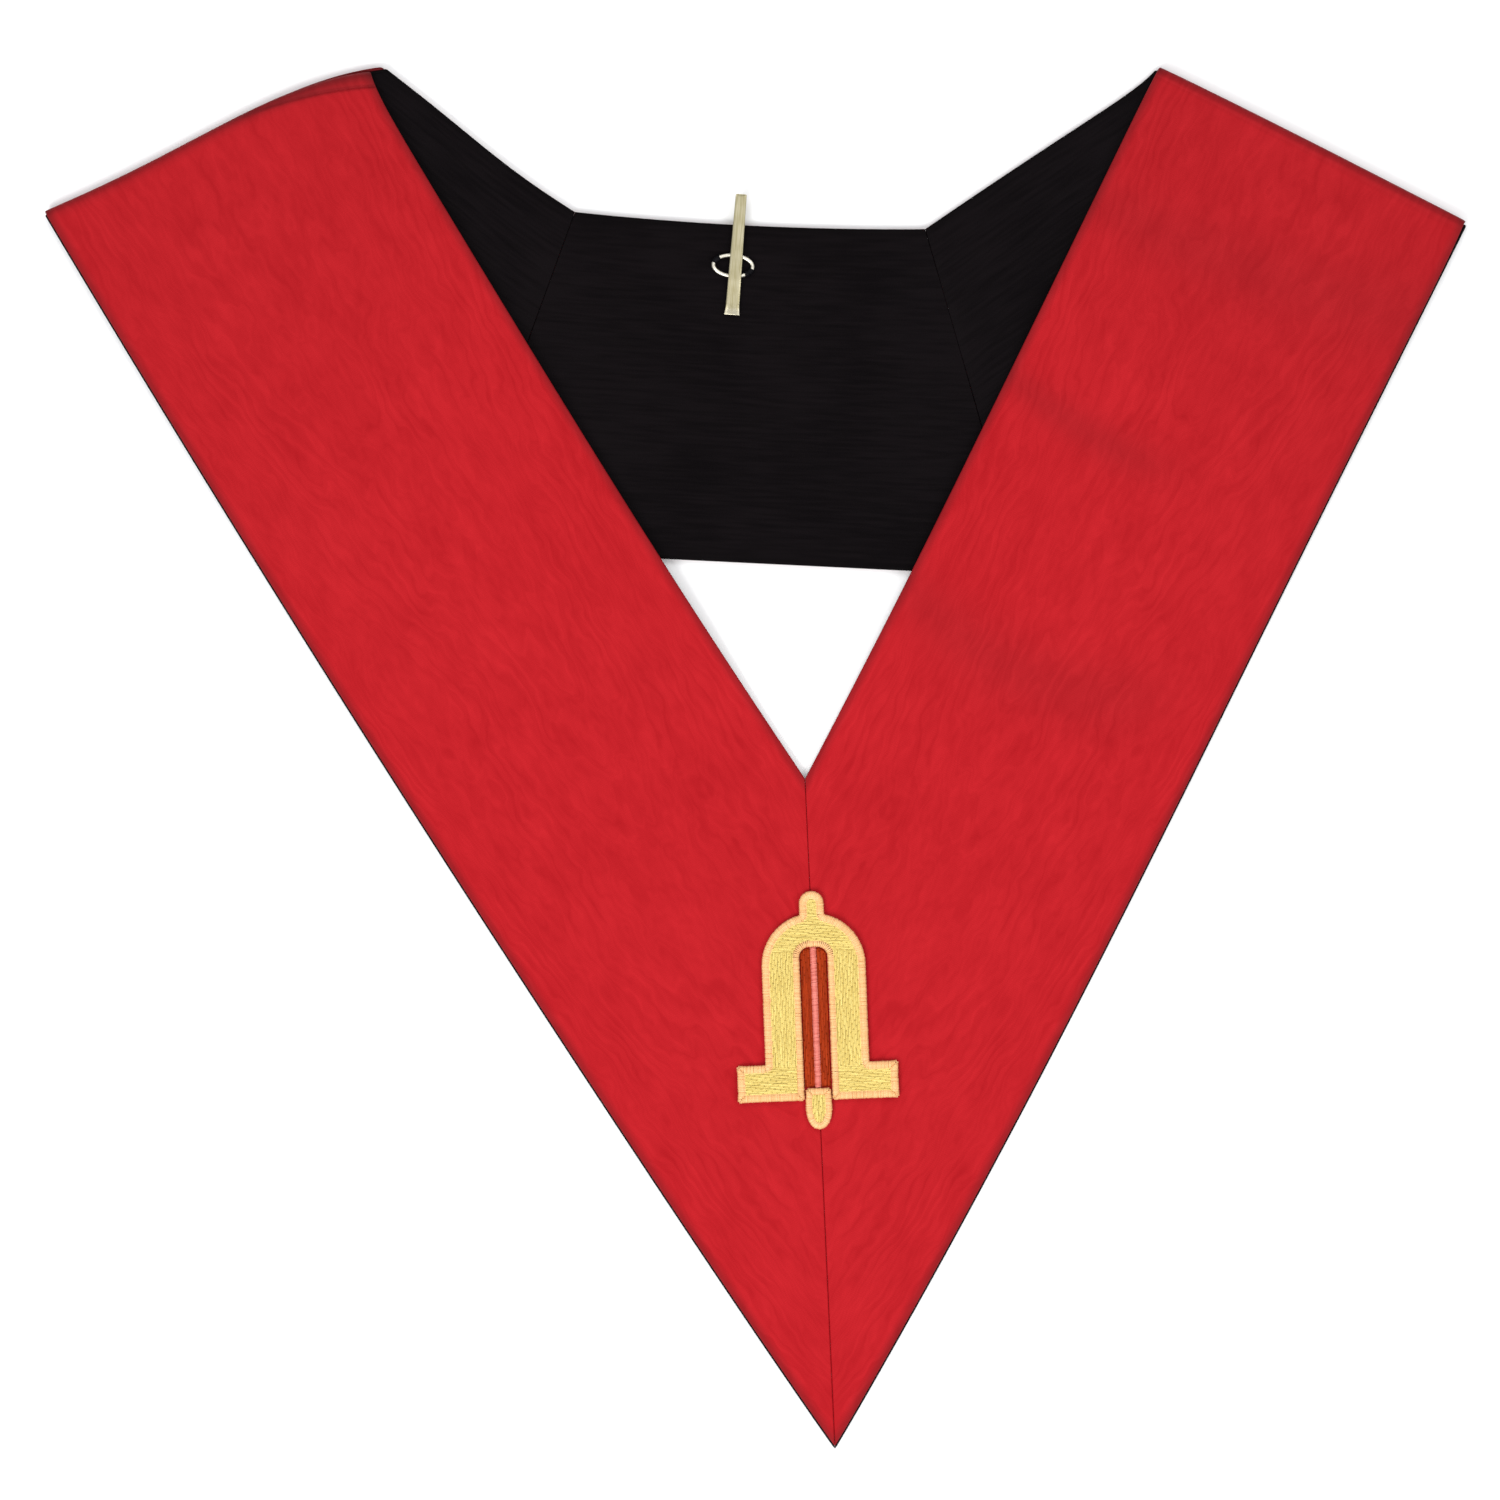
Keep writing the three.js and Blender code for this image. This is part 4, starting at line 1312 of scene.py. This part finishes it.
def ring_threads():
    """Black stitches over the ring's wire that hold it to the lining."""
    turns = np.radians(np.concatenate([
        np.linspace(sewn["turn"] - sewn["spread"], sewn["turn"] + sewn["spread"], RING_WRAPS)
        for sewn in RING_SEWN
    ]))
    over = np.linspace(-1, 1, 9) * WRAP_TURN
    radius = RING_WIRE / 2 + THREAD * 0.3
    paths, out = ring_paths(turns, radius * np.sin(over), radius * np.cos(over))
    paths[..., 2] = np.maximum(paths[..., 2], 0)
    return tubes(round_paths(paths, out, THREAD * 0.4), dice.random(len(turns))[:, None, None])


def neck_clip():
    made = joined_mesh("gilt_clip", [strip_mesh(), ring_mesh()], [GILT, GILT], on_lining)
    stands_for(made, "neck_clip")
    sewn = joined_mesh("clip_stitches", [ring_threads()], [SEWING], on_lining)
    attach(sewn, "root")


# Studio

CAMERA_HEIGHT = 3.0
SENSOR = 36.0
VIEW_WIDTH = 0.4474
VIEW_CENTRE = (-0.00165, 0.00238)
FLOOR_SIZE = 5.0

SOFTBOXES = table(
    "place size power",
    ((-0.9, -1.3, 1.7), 1.3, 35),
    ((1.2, -0.7, 1.6), 1.2, 13),
    ((-0.8, 1.3, 1.5), 1.2, 8),
    ((1.0, 1.2, 1.7), 1.1, 8),
    ((0, 0, 4.2), 3.6, 16),
)


def floor():
    n = Nodes("pale_floor")
    n.bump(n.object_noise(240.0, 3.0), 0.2 * MM, 0.15)
    tone = n.object_noise(3.0, 2.0)
    material = n.finish(
        n.mix(tone, (0.9, 0.9, 0.9, 1), (0.94, 0.94, 0.94, 1)), Roughness=0.7, Specular_IOR_Level=0.1
    )
    half = FLOOR_SIZE / MM / 2
    corners_of_floor = [(-half, -half, 0), (half, -half, 0), (half, half, 0), (-half, half, 0)]
    made = new_object("floor", corners_of_floor, [(0, 1, 2, 3)], [material])


def studio():
    world = bpy.data.worlds.new("studio")
    world.use_nodes = True
    background = world.node_tree.nodes["Background"]
    background.inputs["Color"].default_value = (0.97, 0.98, 1.0, 1)
    background.inputs["Strength"].default_value = 0.6
    bpy.context.scene.world = world
    for number, box in enumerate(SOFTBOXES):
        light = bpy.data.lights.new(f"softbox_{number}", "AREA")
        light.shape = "DISK"
        light.size = box["size"]
        light.energy = box["power"]
        made = bpy.data.objects.new(light.name, light)
        made.location = box["place"]
        aim = np.array(box["place"])
        made.rotation_euler = (
            math.atan2(np.hypot(aim[0], aim[1]), aim[2]), 0, math.atan2(aim[1], aim[0]) + math.pi / 2
        )
        bpy.context.scene.collection.objects.link(made)
    camera = bpy.data.cameras.new("camera")
    camera.sensor_width = SENSOR
    camera.lens = SENSOR * CAMERA_HEIGHT / VIEW_WIDTH
    made = bpy.data.objects.new("camera", camera)
    made.location = (*VIEW_CENTRE, CAMERA_HEIGHT)
    bpy.context.scene.collection.objects.link(made)
    bpy.context.scene.camera = made
    bpy.context.scene.view_settings.view_transform = "Standard"


floor()
studio()
back_piece("neck_band", band_panel())
for side in ("left", "right"):
    back_piece(f"shoulder_{side}", shoulder_panel(side))
limb("left", left_fold_relief, 0.0)
limb("right", right_fold_relief, 0.4)
emblem()
neck_clip()
